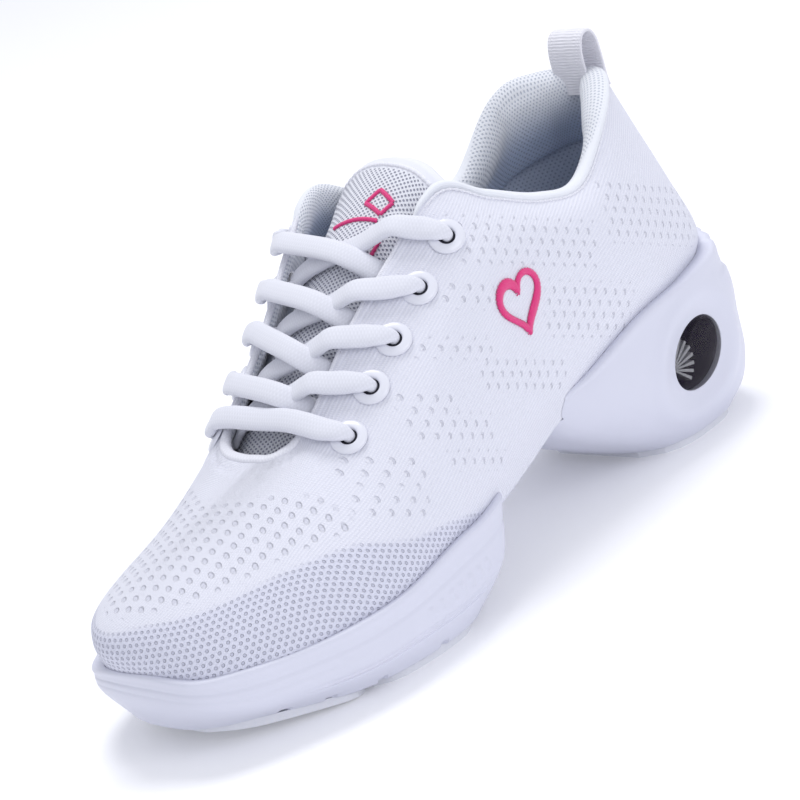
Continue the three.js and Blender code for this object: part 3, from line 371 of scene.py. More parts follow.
def cut_with(obj, cutter):
    """Subtracts the closed mesh cutter from obj and removes it."""
    mod = obj.modifiers.new("cut", "BOOLEAN")
    mod.operation = "DIFFERENCE"
    mod.solver = "EXACT"
    mod.object = cutter
    bpy.context.view_layer.update()
    made = bpy.data.meshes.new_from_object(obj.evaluated_get(bpy.context.evaluated_depsgraph_get()))
    obj.modifiers.remove(mod)
    old = obj.data
    made.name = old.name + "_cut"
    obj.data = made
    bpy.data.meshes.remove(old)
    bpy.data.objects.remove(cutter)
    return obj


def crisp(obj, angle=38):
    """Smooth shading that keeps edges sharper than angle degrees."""
    obj.data.set_sharp_from_angle(angle=math.radians(angle))


# ---------------------------------------------------------------------- node materials
class Cloth:
    """A short way to write a node material: every call returns an output socket."""

    def __init__(self, name, color, roughness=0.8, **shader):
        self.mat = bpy.data.materials.new(name)
        self.mat.use_nodes = True
        self.nodes = self.mat.node_tree.nodes
        self.links = self.mat.node_tree.links
        self.shader = self.nodes["Principled BSDF"]
        self.shader.inputs["Base Color"].default_value = (*color, 1)
        self.shader.inputs["Roughness"].default_value = roughness
        for key, value in shader.items():
            self.shader.inputs[key.replace("_", " ")].default_value = value
        self.mat.diffuse_color = (*color, 1)

    def feed(self, socket, value):
        if isinstance(value, bpy.types.NodeSocket):
            self.links.new(value, socket)
        else:
            socket.default_value = value

    def add(self, kind, values=(), output=0, **settings):
        """A new node with its settings, and values for its inputs in order or by name."""
        node = self.nodes.new("ShaderNode" + kind)
        for key, value in settings.items():
            setattr(node, key, value)
        for key, value in values.items() if isinstance(values, dict) else enumerate(values):
            self.feed(node.inputs[key], value)
        return node.outputs[output]

    def uv(self, name):
        return self.add("UVMap", uv_map=name)

    def rest(self):
        """Object coordinates in millimetres, for pieces that never bend."""
        return self.vector("SCALE", self.add("TexCoord", output="Object"), scale=1000.0)

    def mask(self, name):
        return self.add("Attribute", output="Fac", attribute_name=name)

    def math(self, operation, a, b=0.0, c=0.0):
        return self.add("Math", (a, b, c), operation=operation)

    def vector(self, operation, a, b=(0, 0, 0), scale=None):
        values = {0: a, 1: b} if scale is None else {0: a, "Scale": scale}
        output = "Value" if operation in ("LENGTH", "DOT_PRODUCT") else 0
        return self.add("VectorMath", values, output, operation=operation)

    def noise(self, vector, scale, detail=2.0, rough=0.5):
        values = {"Vector": vector, "Scale": scale, "Detail": detail, "Roughness": rough}
        return self.add("TexNoise", values, "Fac")

    def step(self, value, low, high):
        """Smooth rise from 0 at low to 1 at high; low may be above high."""
        start, end = (1.0, 0.0) if low > high else (0.0, 1.0)
        values = {"Value": value, "From Min": min(low, high), "From Max": max(low, high),
                  "To Min": start, "To Max": end}
        return self.add("MapRange", values, "Result", interpolation_type="SMOOTHSTEP")

    def dots(self, flat, across, down):
        """Distance in mm to the nearest point of a staggered grid."""
        pitch = (across, down, 1.0)
        inverse = (1 / across, 1 / down, 0.0)
        cells = self.vector("MULTIPLY", flat, inverse)
        near = []
        for shift in ((0.5, 0.5, 0.0), (0.0, 0.0, 0.0)):
            moved = self.vector("FRACTION", self.vector("ADD", cells, shift))
            local = self.vector("MULTIPLY", self.vector("SUBTRACT", moved, (0.5, 0.5, 0.0)), pitch)
            near.append(self.vector("LENGTH", local))
        return self.math("MINIMUM", near[0], near[1])

    def stripes(self, flat, direction, pitch):
        """Rounded ribs, 0 to 1, across a direction in the map."""
        phase = self.vector("DOT_PRODUCT", flat, tuple(k * 2 * math.pi / pitch for k in direction))
        return self.math("MULTIPLY_ADD", self.math("SINE", phase), 0.5, 0.5)

    def mix(self, amount, a, b):
        a, b = ((*k, 1) if isinstance(k, tuple) else k for k in (a, b))
        return self.add("Mix", {0: amount, 6: a, 7: b}, 2, data_type="RGBA")

    def bump(self, height, strength=1.0):
        """Relief from a height in millimetres."""
        values = {"Strength": strength, "Distance": MM, "Height": height}
        self.links.new(self.add("Bump", values, "Normal"), self.shader.inputs["Normal"])

    def paint(self, color):
        self.links.new(color, self.shader.inputs["Base Color"])

    def shine(self, roughness):
        self.links.new(roughness, self.shader.inputs["Roughness"])


WHITE = (0.86, 0.865, 0.90)


def shaded(color, share):
    """A color at a share of its strength."""
    return tuple(k * share for k in color)


def knit_material():
    """Knit with fine diagonal ribs, small loops on the sides and open rows over the toes, with painted
    shade in its dots, pits and loops.
    """
    m = Cloth("knit", WHITE, 0.82, Sheen_Weight=0.12)
    fabric, vamp, side = m.uv("fabric"), m.uv("vamp"), m.uv("side")
    ribs = m.stripes(fabric, (0.66, 0.75, 0.0), 1.0)
    loops = m.stripes(fabric, (-0.45, 0.89, 0.0), 0.85)
    weave = m.math("MULTIPLY", ribs, m.math("MULTIPLY_ADD", loops, 0.5, 0.5))
    grain = m.noise(fabric, 1.3, 3.0)
    height = m.math("MULTIPLY", weave, 0.14)
    height = m.math("MULTIPLY_ADD", grain, 0.2, height)

    near = m.dots(fabric, 2.2, 3.6)
    pin = m.math("MULTIPLY", m.step(near, 0.62, 0.35), m.mask("rand"))
    height = m.math("MULTIPLY_ADD", pin, -0.55, height)

    near = m.dots(m.vector("MULTIPLY", vamp, (0.85, 1.0, 0.0)), 8.78 * 0.85, 3.7)
    pit = m.math("MULTIPLY", m.step(near, 1.12, 0.5), m.mask("vamp_dots"))
    height = m.math("MULTIPLY_ADD", pit, -0.6, height)

    oval_side = m.vector("MULTIPLY", side, (1.45, 1.0, 0.0))
    near = m.dots(oval_side, 4.7 * 1.45, 7.3)
    inner = m.dots(m.vector("ADD", oval_side, (-0.55, 0.25, 0.0)), 4.7 * 1.45, 7.3)
    loop = m.math("MULTIPLY", m.step(near, 1.15, 0.75), m.step(inner, 0.45, 0.95))
    loop = m.math("MULTIPLY", loop, m.mask("side_dots"))
    bead = m.math("MULTIPLY", m.step(inner, 1.1, 0.3), m.mask("side_dots"))
    height = m.math("MULTIPLY_ADD", loop, -0.32, height)
    height = m.math("MULTIPLY_ADD", bead, 0.16, height)
    m.bump(height, 0.9)

    base = m.mix(m.math("MULTIPLY_ADD", weave, 0.7, m.math("MULTIPLY", grain, 0.3)),
                 (0.69, 0.70, 0.79), (0.825, 0.83, 0.895))
    base = m.mix(m.math("MULTIPLY", m.mask("rand"), 0.45), base, (0.60, 0.615, 0.76))
    # painted shade: the rand's pin dots, the vamp pits and the side loops are darkened towards a deep
    # blue-grey, as the shade inside these recesses
    dark = m.math("MULTIPLY", pin, 0.5)
    dark = m.math("MAXIMUM", dark, m.math("MULTIPLY", pit, 0.24))
    dark = m.math("MAXIMUM", dark, m.math("MULTIPLY", loop, 0.3))
    m.paint(m.mix(dark, base, (0.36, 0.37, 0.48)))
    return m.mat


def mesh_material(name, across, down, radius, hole_shade_color, base, depth=0.5, dark=0.85,
                  mask=None, depth_shade=None):
    """Open sandwich mesh: staggered holes in a smooth fabric, painted dark as the shade inside them, with
    painted shade that may darken it further down inside.
    """
    m = Cloth(name, base, 0.8, Sheen_Weight=0.15)
    flat = m.uv("flat")
    near = m.dots(flat, across, down)
    hole = m.step(near, radius * 1.3, radius * 0.6)
    if mask:
        hole = m.math("MULTIPLY", hole, m.mask(mask))
    threads = m.stripes(flat, (1.0, 0.0, 0.0), across / 4)
    height = m.math("MULTIPLY_ADD", hole, -depth, m.math("MULTIPLY", threads, 0.06))
    m.bump(height, 0.9)
    tone = m.mix(m.noise(flat, 0.05, 2.0), shaded(base, 0.96), base)
    # painted shade: further down inside a piece, by its depth mask, the fabric and its holes are darkened
    # towards a shade colour
    if depth_shade:
        inside = m.mask("depth_shade")
        tone = m.mix(inside, tone, depth_shade)
        hole_shade_color = m.mix(inside, hole_shade_color, shaded(depth_shade, 0.5))
    # painted shade: the holes are darkened towards the hole colour, as the shade inside them
    m.paint(m.mix(m.math("MULTIPLY", hole, dark), tone, hole_shade_color))
    return m.mat


def foam_material(name, color, roughness=0.42, grain=0.05, mottle=0.12, **shader):
    """Moulded foam: satin skin with a faint fine grain and slow tone changes."""
    m = Cloth(name, color, roughness, **shader)
    spot = m.rest()
    fine = m.noise(spot, 1.6, 3.0)
    slow = m.noise(spot, 0.05, 2.0)
    m.bump(m.math("MULTIPLY", fine, grain), 0.6)
    m.paint(m.mix(slow, shaded(color, 0.965), color))
    m.shine(m.math("MULTIPLY_ADD", slow if mottle < 0.05 else fine, mottle, roughness - mottle / 2))
    return m.mat


def woven_material(name, color, pitch, roughness=0.7, depth=0.10, **shader):
    """Tight weave of two crossing sets of threads."""
    m = Cloth(name, color, roughness, Sheen_Weight=0.2, **shader)
    flat = m.uv("flat")
    one = m.stripes(flat, (0.86, 0.5, 0.0), pitch)
    two = m.stripes(flat, (0.86, -0.5, 0.0), pitch)
    height = m.math("MULTIPLY", m.math("MAXIMUM", one, two), depth)
    m.bump(height, 0.8)
    m.paint(m.mix(m.math("MULTIPLY", one, two), shaded(color, 0.93), color))
    return m.mat


def thread_material(name, color):
    """Glossy embroidery thread with a fine twist."""
    m = Cloth(name, color, 0.42, Sheen_Weight=0.3)
    flat = m.uv("flat")
    twist = m.stripes(flat, (0.8, 0.6, 0.0), 0.35)
    m.bump(m.math("MULTIPLY", twist, 0.05), 0.7)
    m.paint(m.mix(twist, shaded(color, 0.8), color))
    return m.mat


def plain_board_material(name, color):
    """Pressed fibre board."""
    m = Cloth(name, color, 0.85)
    fibre = m.noise(m.rest(), 0.8, 4.0, 0.7)
    m.bump(m.math("MULTIPLY", fibre, 0.15), 0.7)
    m.paint(m.mix(fibre, shaded(color, 0.9), color))
    return m.mat


# -------------------------------------------------------------------------- the camera
def add_camera():
    """Long lens from the front outer quarter, rolled so that the shoe looks nose-down."""
    azimuth, elevation, roll = (math.radians(k) for k in CAMERA_ANGLES)
    back = np.array([math.sin(azimuth) * math.cos(elevation),
                     -math.cos(azimuth) * math.cos(elevation), math.sin(elevation)])
    right = np.array([math.cos(azimuth), math.sin(azimuth), 0.0])
    up = np.cross(back, right)
    across = math.cos(roll) * right + math.sin(roll) * up
    upright = -math.sin(roll) * right + math.cos(roll) * up
    data = bpy.data.cameras.new("camera")
    data.sensor_width = 36.0
    data.lens = CAMERA_LENS
    data.shift_x, data.shift_y = CAMERA_SHIFT
    data.clip_end = 50.0
    camera = bpy.data.objects.new("camera", data)
    matrix = Matrix([list(across), list(upright), list(back)]).transposed().to_4x4()
    matrix.translation = (np.array(CAMERA_TARGET) + back * CAMERA_DISTANCE) * MM
    camera.matrix_world = matrix
    bpy.context.scene.collection.objects.link(camera)
    bpy.context.scene.camera = camera


def add_light(name, place_m, aim, size, power, color=(1, 1, 1)):
    """Round soft light at place_m that faces aim, both in metres."""
    data = bpy.data.lights.new(name, "AREA")
    data.shape = "DISK"
    data.size = size
    data.energy = power
    data.color = color
    light = bpy.data.objects.new(name, data)
    direction = unit(np.asarray(place_m, float) - np.asarray(aim, float))
    side = unit(np.cross([0, 0, 1], direction))
    top = np.cross(direction, side)
    matrix = Matrix([list(side), list(top), list(direction)]).transposed().to_4x4()
    matrix.translation = place_m
    light.matrix_world = matrix
    bpy.context.scene.collection.objects.link(light)


def add_studio():
    """White surroundings, a key light from above, a fill from the outer side, and the floor."""
    world = bpy.data.worlds.new("studio")
    bpy.context.scene.world = world
    world.use_nodes = True
    sky = world.node_tree.nodes["Background"]
    sky.inputs["Color"].default_value = (0.91, 0.93, 1.0, 1)
    sky.inputs["Strength"].default_value = 0.73
    bpy.context.scene.view_settings.view_transform = "Standard"
    add_light("key", (-0.25, 0.30, 1.3), (0, 0, 0.05), 0.6, 8.0)
    add_light("fill", (1.1, -0.2, 0.7), (0, 0, 0.05), 0.8, 3.2, (0.95, 0.95, 1.0))
    corners = [[x * STUDIO_SIZE, y * STUDIO_SIZE, 0] for x, y in ((-1, -1), (1, -1), (1, 1), (-1, 1))]
    build("studio_floor", corners, [[0, 1, 2, 3]], floor_material())


def floor_material():
    """Pale paper that glows a little, so that it stays white all round."""
    m = Cloth("pale_floor", (0.93, 0.93, 0.94), 0.9, Emission_Strength=0.1,
              Emission_Color=(0.95, 0.96, 1, 1))
    m.paint(m.mix(m.noise(m.rest(), 0.003), (0.925, 0.925, 0.935), (0.935, 0.935, 0.945)))
    return m.mat


# ---------------------------------------------------------------------- knitted upper
# patches of knitted-in dots on each side, in rows that climb towards the toe:
# lowest row, highest row, back end and front end, all in millimetres
SIDE_PATCHES = [(40, 54.5, 86, 145), (48, 67, 28, 80), (26.5, 34, 134, 155), (18.5, 36, 68, 110),
                (11.5, 18, 136, 164), (2.5, 11.5, 98, 142), (-4, 2, 153, 171), (-13, -4, 138, 170),
                (-25.5, -16.5, 168, 189), (-35, -26.5, 169, 190), (-21, -15, 130, 160)]


def side_rows(points):
    """Row and place along the row for shoe-frame points, as seen from the side."""
    s = DATUM[1] - points[..., 1]
    row = 0.906 * points[..., 2] - 0.423 * s
    along = 0.906 * s + 0.423 * points[..., 2]
    return along, row


def knit_maps(us, points):
    """The three flat maps of the knit and its dot masks, on a grid of upper points."""
    girth = run_length(upper(us, 1.0))
    girth -= np.interp(13, us, girth)
    climb = climb_length(points)
    edge = points[:, :1]
    station = DATUM[1] - edge[..., 1]
    slow = station - smooth((station - 190) / 60) * (station - 215)
    fabric = flat_map(girth, climb + edge[..., 2] - ROW_RISE * slow)
    x = points[..., 0] - DATUM[0]
    s = DATUM[1] - points[..., 1]
    vamp = np.stack([x, s - 0.205 * x], -1)
    along, row = side_rows(points)
    side = np.stack([along, row], -1)
    reach = [0, 25, 45, 60, 77, 86, 103, 124, 150, 400]
    band = [17, 21.5, 24.5, 26.5, 25.5, 23.5, 15, 8.5, 0, -20]
    rand_top = np.interp(np.abs(girth), reach, band)[:, None]
    rand = smooth((rand_top - climb) / 3.0 + 0.5)
    throat = np.interp(np.abs(x), [0, 8, 15, 21, 31, 40], [201.5, 199.5, 196, 191.5, 187.5, 187])
    vamp_dots = smooth((s - throat) / 3) * smooth((climb - rand_top - 3.5) / 2.5) * (s > 150)
    side_dots = np.zeros_like(s)
    for low, high, rear, front in SIDE_PATCHES:
        box = smooth((row - low) / 1.2 + 0.5) * smooth((high - row) / 1.2 + 0.5)
        box = box * smooth((along - rear) / 2 + 0.5) * smooth((front - along) / 2 + 0.5)
        side_dots = np.maximum(side_dots, box)
    side_dots = side_dots * (1 - rand)
    maps = {"fabric": fabric, "vamp": vamp, "side": side}
    masks = {"rand": rand, "vamp_dots": vamp_dots, "side_dots": side_dots}
    return maps, masks, climb


def collar_zone(us):
    """1 along the ankle collar, 0 along the facings and throat."""
    away = np.minimum(us, COLUMNS - us)
    return smooth((6.35 - away) / 0.35)


def knit_upper(material):
    """Knit shell: outer face, inner face and the floor under the foot between them."""
    around, high = 624, 92
    us = np.linspace(0, COLUMNS, around + 1)
    vs = np.linspace(0, 4, high + 1)
    uu, vv = np.meshgrid(us, vs, indexing="ij")
    face = upper(uu, vv)
    normal = upper_normal(uu, vv)
    maps, masks, climb = knit_maps(us, face)
    below_edge = climb[:, -1:] - climb
    collar = collar_zone(us)[:, None]
    throat = smooth((np.minimum(us, COLUMNS - us) - 9.3) / 1.0)[:, None]
    facing = (1 - collar) * (1 - throat)
    edge_arc = run_length(face[:, -1])
    pucker = 0.5 + 0.5 * np.cos(edge_arc * 2 * math.pi / 2.6)[:, None]
    h = -0.9 * collar * smooth((2.6 - below_edge) / 1.0)
    h -= throat * ridge(below_edge, 5.2, 1.1) * (0.45 + 0.45 * pucker)
    h += throat * ridge(below_edge, 7.6, 1.3) * 0.28 * (1 - pucker)
    h += facing * 0.35 * smooth((13.5 - below_edge) / 1.5)
    h -= facing * ridge(below_edge, 3.4, 0.5) * 0.3
    h -= 0.5 * (1 - collar) * smooth((1.4 - below_edge) / 1.4)
    outer = face + normal * h[..., None]
    inner = face - normal * KNIT
    lift = np.array([0, 0, 1.0])
    left, right = outer[:, 0], outer[::-1, 0]
    floor = [left * (1 - w) + right * w - lift * d
             for w, d in ((0.003, 0.75), (0.02, 0.85), (0.06, 0.9), (0.14, 0.9), (0.27, 0.9), (0.5, 0.9))]
    left_in, right_in = inner[:, 0], inner[::-1, 0]
    roof = [left_in * (1 - w) + right_in * w + lift * 0.3 for w in (0.02, 0.14, 0.27, 0.4, 0.5)]
    outside = np.concatenate([np.stack(floor[::-1], 1), outer], 1)
    inside = np.concatenate([np.stack(roof[::-1], 1), inner[:, ::4]], 1)[:, ::-1]
    table = np.concatenate([outside, inside], 1)
    rows = table.shape[1]
    points = table[:-1].reshape(-1, 3)
    faces = grid_faces(around, rows, True, False)
    pad = len(floor)

    def spread(value):
        """Values of the outer face, repeated on the floor, the inside and the roof."""
        return np.concatenate([np.repeat(value[:, :1], pad, 1), value, value[:, ::-4],
                               np.repeat(value[:, :1], len(roof), 1)], 1)[:, :rows]

    corner_maps = {key: grid_corners(around + 1, rows, spread(value))
                   for key, value in maps.items()}
    point_masks = {key: spread(value)[:-1] for key, value in masks.items()}
    return build("knit_upper", points, faces, material, corner_maps, point_masks, weld=0.005)


# --------------------------------------------------------------------- lining and roll
def sock_lining(material):
    """Mesh lining inside the knit, from the insole up to the collar roll."""
    us = np.linspace(0, COLUMNS, 313)
    away = np.minimum(us, COLUMNS - us)
    top = 3.05 - 0.2 * smooth((away - 5.4) / 0.8)
    rows = 46
    share = np.linspace(0, 1, rows)
    vv = 0.22 + (top[:, None] - 0.22) * share[None]
    uu = np.repeat(us[:, None], rows, 1)
    outer = offset(uu, vv, -LINER_DEPTH)
    inner = offset(uu, vv, -LINER_DEPTH - LINER_THICK)
    table = np.concatenate([outer, inner[:, ::-1]], 1)
    girth = run_length(inner[:, 20])
    climb = climb_length(inner)
    flat = both_sides(flat_map(girth, climb))
    n = len(us) - 1
    faces = grid_faces(n, 2 * rows, True, True)
    uv = grid_corners(n + 1, 2 * rows, flat, False, True)
    return build("sock_lining", table[:-1].reshape(-1, 3), faces, material, {"flat": uv})


def facing_lining(name, first, last, material):
    """Padded mesh strip behind one facing, from its edge down to the sock lining."""
    us = np.linspace(first, last, 120)
    vs = np.linspace(3.99, 2.55, 50)
    uu, vv = np.meshgrid(us, vs, indexing="ij")
    down = (3.99 - vv) / 1.44
    end = smooth(np.minimum(uu - first, last - uu) / 0.25)
    fat = (0.5 + 1.5 * ridge(down, 0.45, 0.3)) * (0.2 + 0.8 * end)
    sunk = -KNIT + 0.1 - 0.95 * smooth(down / 0.07)
    near = offset(uu, vv, sunk)
    far = offset(uu, vv, sunk - 0.1 - fat)
    table = np.concatenate([near, far[:, ::-1]], 1)
    arc = run_length(near[:, 0])
    climb = climb_length(near)
    points, faces = sweep(table)
    uv = grid_corners(len(us), table.shape[1], both_sides(flat_map(arc, climb)), False, True)
    return build(name, points, faces, material, {"flat": uv}, {"open_mesh": np.ones(len(points))})


ROLL = [(0.1, -2.3), (0.7, -1.9), (1.0, -1.1), (0.9, -0.2), (0.3, 0.8), (-0.8, 1.5),
        (-2.4, 1.8), (-4.2, 1.3), (-5.8, 0.0), (-6.9, -2.2), (-7.5, -5.4), (-7.6, -9.5),
        (-7.2, -14), (-6.5, -18.5), (-5.7, -22.5), (-4.9, -23.2), (-4.0, -20), (-3.0, -14),
        (-2.4, -8), (-1.8, -5.2)]


def collar_roll(material):
    """Padded roll round the ankle, fuller in front of the heel and dimpled at it."""
    us = np.linspace(-6.75, 6.75, 271)
    edge = upper(us, EDGE)
    up = unit(upper(us, EDGE) - upper(us, 3.8))
    away = np.abs(us)
    profile = catmull(np.array(ROLL), np.linspace(0, len(ROLL), 64, endpoint=False), True)
    n, t = profile[:, 0], profile[:, 1]
    fat = 1.0 + 0.45 * ridge(away, 1.35, 1.1) - 0.42 * smooth((away - 4.6) / 1.6)
    end = smooth((6.8 - away) / 0.45)
    depth = 1.0 - 0.35 * smooth((away - 4.4) / 1.8)
    inward = np.minimum(n, 0)[None] * fat[:, None] + np.maximum(n, 0)[None]
    centre = -1.6
    inward = centre + (inward - centre) * (0.15 + 0.85 * end[:, None])
    along = t[None] * depth[:, None]
    along = -3.0 + (along + 3.0) * (0.25 + 0.75 * end[:, None])
    along = np.where(along > 0, along * (1 + 1.4 * ridge(us, -1.6, 0.6)[:, None]), along)
    dimple = 1 - 0.42 * ridge(us, 0.0, 0.42)[:, None] * smooth((-1.5 - n) / 2.5)[None]
    below = np.maximum(-along, 0)
    vs = np.linspace(4, 2.2, 91)
    wall = upper(us[:, None], vs[None])
    depth_at = climb_length(wall)
    v = np.stack([np.interp(b, d, vs) for b, d in zip(below, depth_at)])
    face = upper(us[:, None], v)
    out = upper_normal(us[:, None], np.minimum(v, 3.9))
    rings = face + out * (inward * dimple)[..., None] + up[:, None] * np.maximum(along, 0)[..., None]
    points, faces = sweep(rings)
    arc = run_length(edge)
    span = np.linalg.norm(np.diff(np.concatenate([profile, profile[:1]]), axis=0), axis=1)
    girth = np.concatenate([[0], np.cumsum(span)])
    table = np.stack(np.meshgrid(arc, girth, indexing="ij"), -1)
    uv = grid_corners(len(us), len(profile), table, False, True)
    limit = -1.4 + 2.4 * smooth((3.0 - away) / 0.8)
    mask = smooth((limit[:, None] - n[None]) / 1.2)
    # painted shade: a mask that rises further down the inside of the roll, where the collar mesh is
    # darkened towards blue
    depth_shade = smooth((-t[None] - 1.0) / 16.0) + 0.0 * us[:, None]
    return build("collar_roll", points, faces, material, {"flat": uv},
                 {"open_mesh": mask, "depth_shade": depth_shade})


def collar_stitch(material):
    """Fine cord of stitches that holds the collar roll to the knit."""
    us = np.linspace(-6.3, 6.3, 900)
    edge = upper(us, EDGE)
    up = unit(upper(us, EDGE) - upper(us, 3.8))
    normal = upper_normal(us, 3.9)
    arc = run_length(edge)
    bead = 0.62 + 0.16 * np.cos(arc * 2 * math.pi / 2.2)
    path = edge - up * 2.6 + normal * 0.12
    return tube("collar_stitch", path, up, bead * 1.3, bead, 10, material)


def throat_edge(material):
    """Rolled edge that runs down one facing, round the throat and up the other."""
    us = np.linspace(6.45, COLUMNS - 6.45, 700)
    edge = upper(us, EDGE)
    normal = upper_normal(us, 4.0)
    out = unit(upper(us, EDGE) - upper(us, 3.93))
    away = np.minimum(us, COLUMNS - us)
    full = smooth((away - 8.8) / 1.6)
    end = smooth((away - 6.4) / 0.3)
    wide = (2.0 + 1.6 * full) * (0.3 + 0.7 * end)
    thick = (1.9 + 1.0 * full) * (0.3 + 0.7 * end)
    path = edge - normal * (0.85 - 0.35 * full)[:, None] - out * (0.1 + 0.4 * full)[:, None]
    return tube("throat_edge", path, out, wide, thick, 18, material, 2.3)


# ------------------------------------------------------------------------------ tongue
def tongue_point(r, w):
    """Points of the tongue's face: r counts rows down, w runs from -1 to 1 across."""
    r, w = np.broadcast_arrays(np.asarray(r, float), np.asarray(w, float))
    return between_rows(np.stack([catmull(row, (w + 1) * 2) for row in TONGUE]), r)


def tongue_normal(r, w):
    """Directions square to the tongue's face, pointing out."""
    last = len(TONGUE) - 1
    down = tongue_point(np.minimum(r + 0.02, last), w) - tongue_point(np.maximum(r - 0.02, 0), w)
    over = tongue_point(r, np.minimum(w + 0.02, 1)) - tongue_point(r, np.maximum(w - 0.02, -1))
    return unit(np.cross(down, over))


def tongue_pad(material):
    """Padded tongue, open mesh below a smooth band at its top edge."""
    rows, cols = 170, 64
    rs = np.linspace(0, 8, rows)
    angle = np.linspace(0, 2 * math.pi, cols, endpoint=False)
    w_top = np.cos(angle)
    w = np.sign(w_top) * np.abs(w_top) ** 0.62
    level = np.sin(angle)
    rr, ww = np.meshgrid(rs, w, indexing="ij")
    base, normal = tongue_point(rr, ww), tongue_normal(rr, ww)
    thick = 5.0 * smooth(rs / 0.35 * 0.9 + 0.1) ** 0.5 * smooth((8.2 - rs) / 0.8 + 0.2)
    lift = np.sign(level) * np.abs(level) ** 0.8
    h = -2.4 + thick[:, None] / 2 * lift[None] + 0.25 * (level > 0)[None] * (1 - np.abs(w) ** 2)[None]
    wider = 9.0 * smooth((rs - 2.0) / 5.0)[:, None] * np.maximum(-ww, 0) ** 1.2
    rings = base + normal * h[..., None] + np.array([-1.0, 0, 0.12]) * wider[..., None]
    points, faces = sweep(rings)
    along = run_length(tongue_point(rs, 0.0 * rs))
    width = 21.0
    closed_w = np.concatenate([w, w[:1]])
    table = np.stack(np.meshgrid(along, closed_w * width, indexing="ij"), -1)
    uv = grid_corners(rows, cols, table, False, True)
    mask = smooth((along - 6.2) / 0.8)[:, None] * np.ones((1, cols))
    return build("tongue_pad", points, faces, material, {"flat": uv}, {"open_mesh": mask})


def tongue_binding(material):
    """Stitched bead across the flap, just under its smooth top band."""
    ws = np.linspace(-0.97, 0.97, 420)
    rs = np.full_like(ws, 0.66)
    h = -2.35 + 2.5 * (1 - np.abs(ws) ** (2 / 0.62)) ** 0.4 + 0.25 * (1 - np.abs(ws) ** 2)
    path = tongue_point(rs, ws) + tongue_normal(rs, ws) * h[:, None]
    arc = run_length(path)
    bead = 1.05 + 0.14 * np.cos(arc * 2 * math.pi / 2.4)
    down = unit(tongue_point(rs + 0.05, ws) - tongue_point(rs - 0.05, ws))
    return tube("tongue_binding", path, down, bead * 1.4, bead, 12, material)


# ---------------------------------------------------------------------- eyelets, lace
def locate(target):
    """Place on the net that is nearest to a profile point."""
    goal = place(np.array(target, float))
    low, high = (5.8, 10.0) if target[0] > 0 else (16.0, 20.2)
    u0, u1, v0, v1 = low, high, 2.8, 4.0
    for _ in range(3):
        uu, vv = np.meshgrid(np.linspace(u0, u1, 41), np.linspace(v0, v1, 41), indexing="ij")
        gap = np.linalg.norm(upper(uu, vv) - goal, axis=-1)
        k = np.unravel_index(np.argmin(gap), gap.shape)
        u, v = uu[k], vv[k]
        du, dv = (u1 - u0) / 20, (v1 - v0) / 20
        u0, u1, v0, v1 = u - du, u + du, max(v - dv, 2.8), min(v + dv, 4.0)
    return float(u), float(v)


OTHER = {"lateral": "medial", "medial": "lateral"}
HOLES = {side: [locate(p) for p in EYELETS[side]] for side in EYELETS}


def eyelet_ring(name, u, v, materials):
    """Flat clear washer with a rounded rim, and a near-black well that is painted shade in its hole."""
    n = upper_normal(u, v)
    centre = upper(u, v)
    side = unit(np.cross(n, [0, 0, 1.0]))
    top = np.cross(side, n)
    profile = [(EYELET_HOLE - 0.1, 0.42), (EYELET_HOLE, 1.0), (EYELET_HOLE + 0.35, 1.35),
               (EYELET_HOLE + 0.9, 1.42), (EYELET_OUTER - 1.1, 1.3), (EYELET_OUTER - 0.5, 1.12),
               (EYELET_OUTER - 0.05, 0.8), (EYELET_OUTER, 0.5), (EYELET_OUTER - 0.15, 0.2),
               (EYELET_HOLE + 0.2, 0.15)]
    fine = catmull(np.array(profile), np.linspace(0, len(profile), 40, endpoint=False), True)
    angle = np.linspace(0, 2 * math.pi, EYELET_SPOKES, endpoint=False)
    spoke = np.cos(angle)[:, None] * side + np.sin(angle)[:, None] * top
    rings = (centre + spoke[:, None] * fine[None, :, :1] + n * fine[None, :, 1:])
    points = rings.reshape(-1, 3)
    faces = grid_faces(len(angle), len(fine), True, True).tolist()
    ring_faces = len(faces)
    start = len(points)
    # painted shade: a near-black disc closes the hole, as the shade inside it
    wall = centre + spoke * (EYELET_HOLE + 0.3)
    well = [wall + n * 0.5, wall + n * 0.2]
    points = np.concatenate([points, well[0], well[1], [centre + n * 0.42], [centre + n * 0.2]])
    count = len(angle)
    for k in range(count):
        j = (k + 1) % count
        faces.append([start + k, start + j, start + count + j, start + count + k])
        faces.append([start + k, start + 2 * count, start + j])
        faces.append([start + count + k, start + count + j, start + 2 * count + 1])
    obj = build(name, points, faces, materials)
    for face in obj.data.polygons[ring_faces:]:
        face.material_index = 1
    return obj


def facing_at(side, level):
    """Place on the net at an eyelet level; levels below 0 run on past the lowest eyelet."""
    points = np.array(HOLES[side])
    return catmull(points, np.clip(level, 0, 4)) + (points[0] - points[1]) * max(-level, 0)


def lace_node(side, level, w, h, wide, thick):
    """A point of the lace on or under a facing: w runs from the eyelets to the facing's edge."""
    u, v = facing_at(side, level)
    v = min(v + (4 - v) * w, 4)
    return upper(u, v) + upper_normal(u, v) * h, unit(upper(u + 0.05, v) - upper(u - 0.05, v)), wide, thick


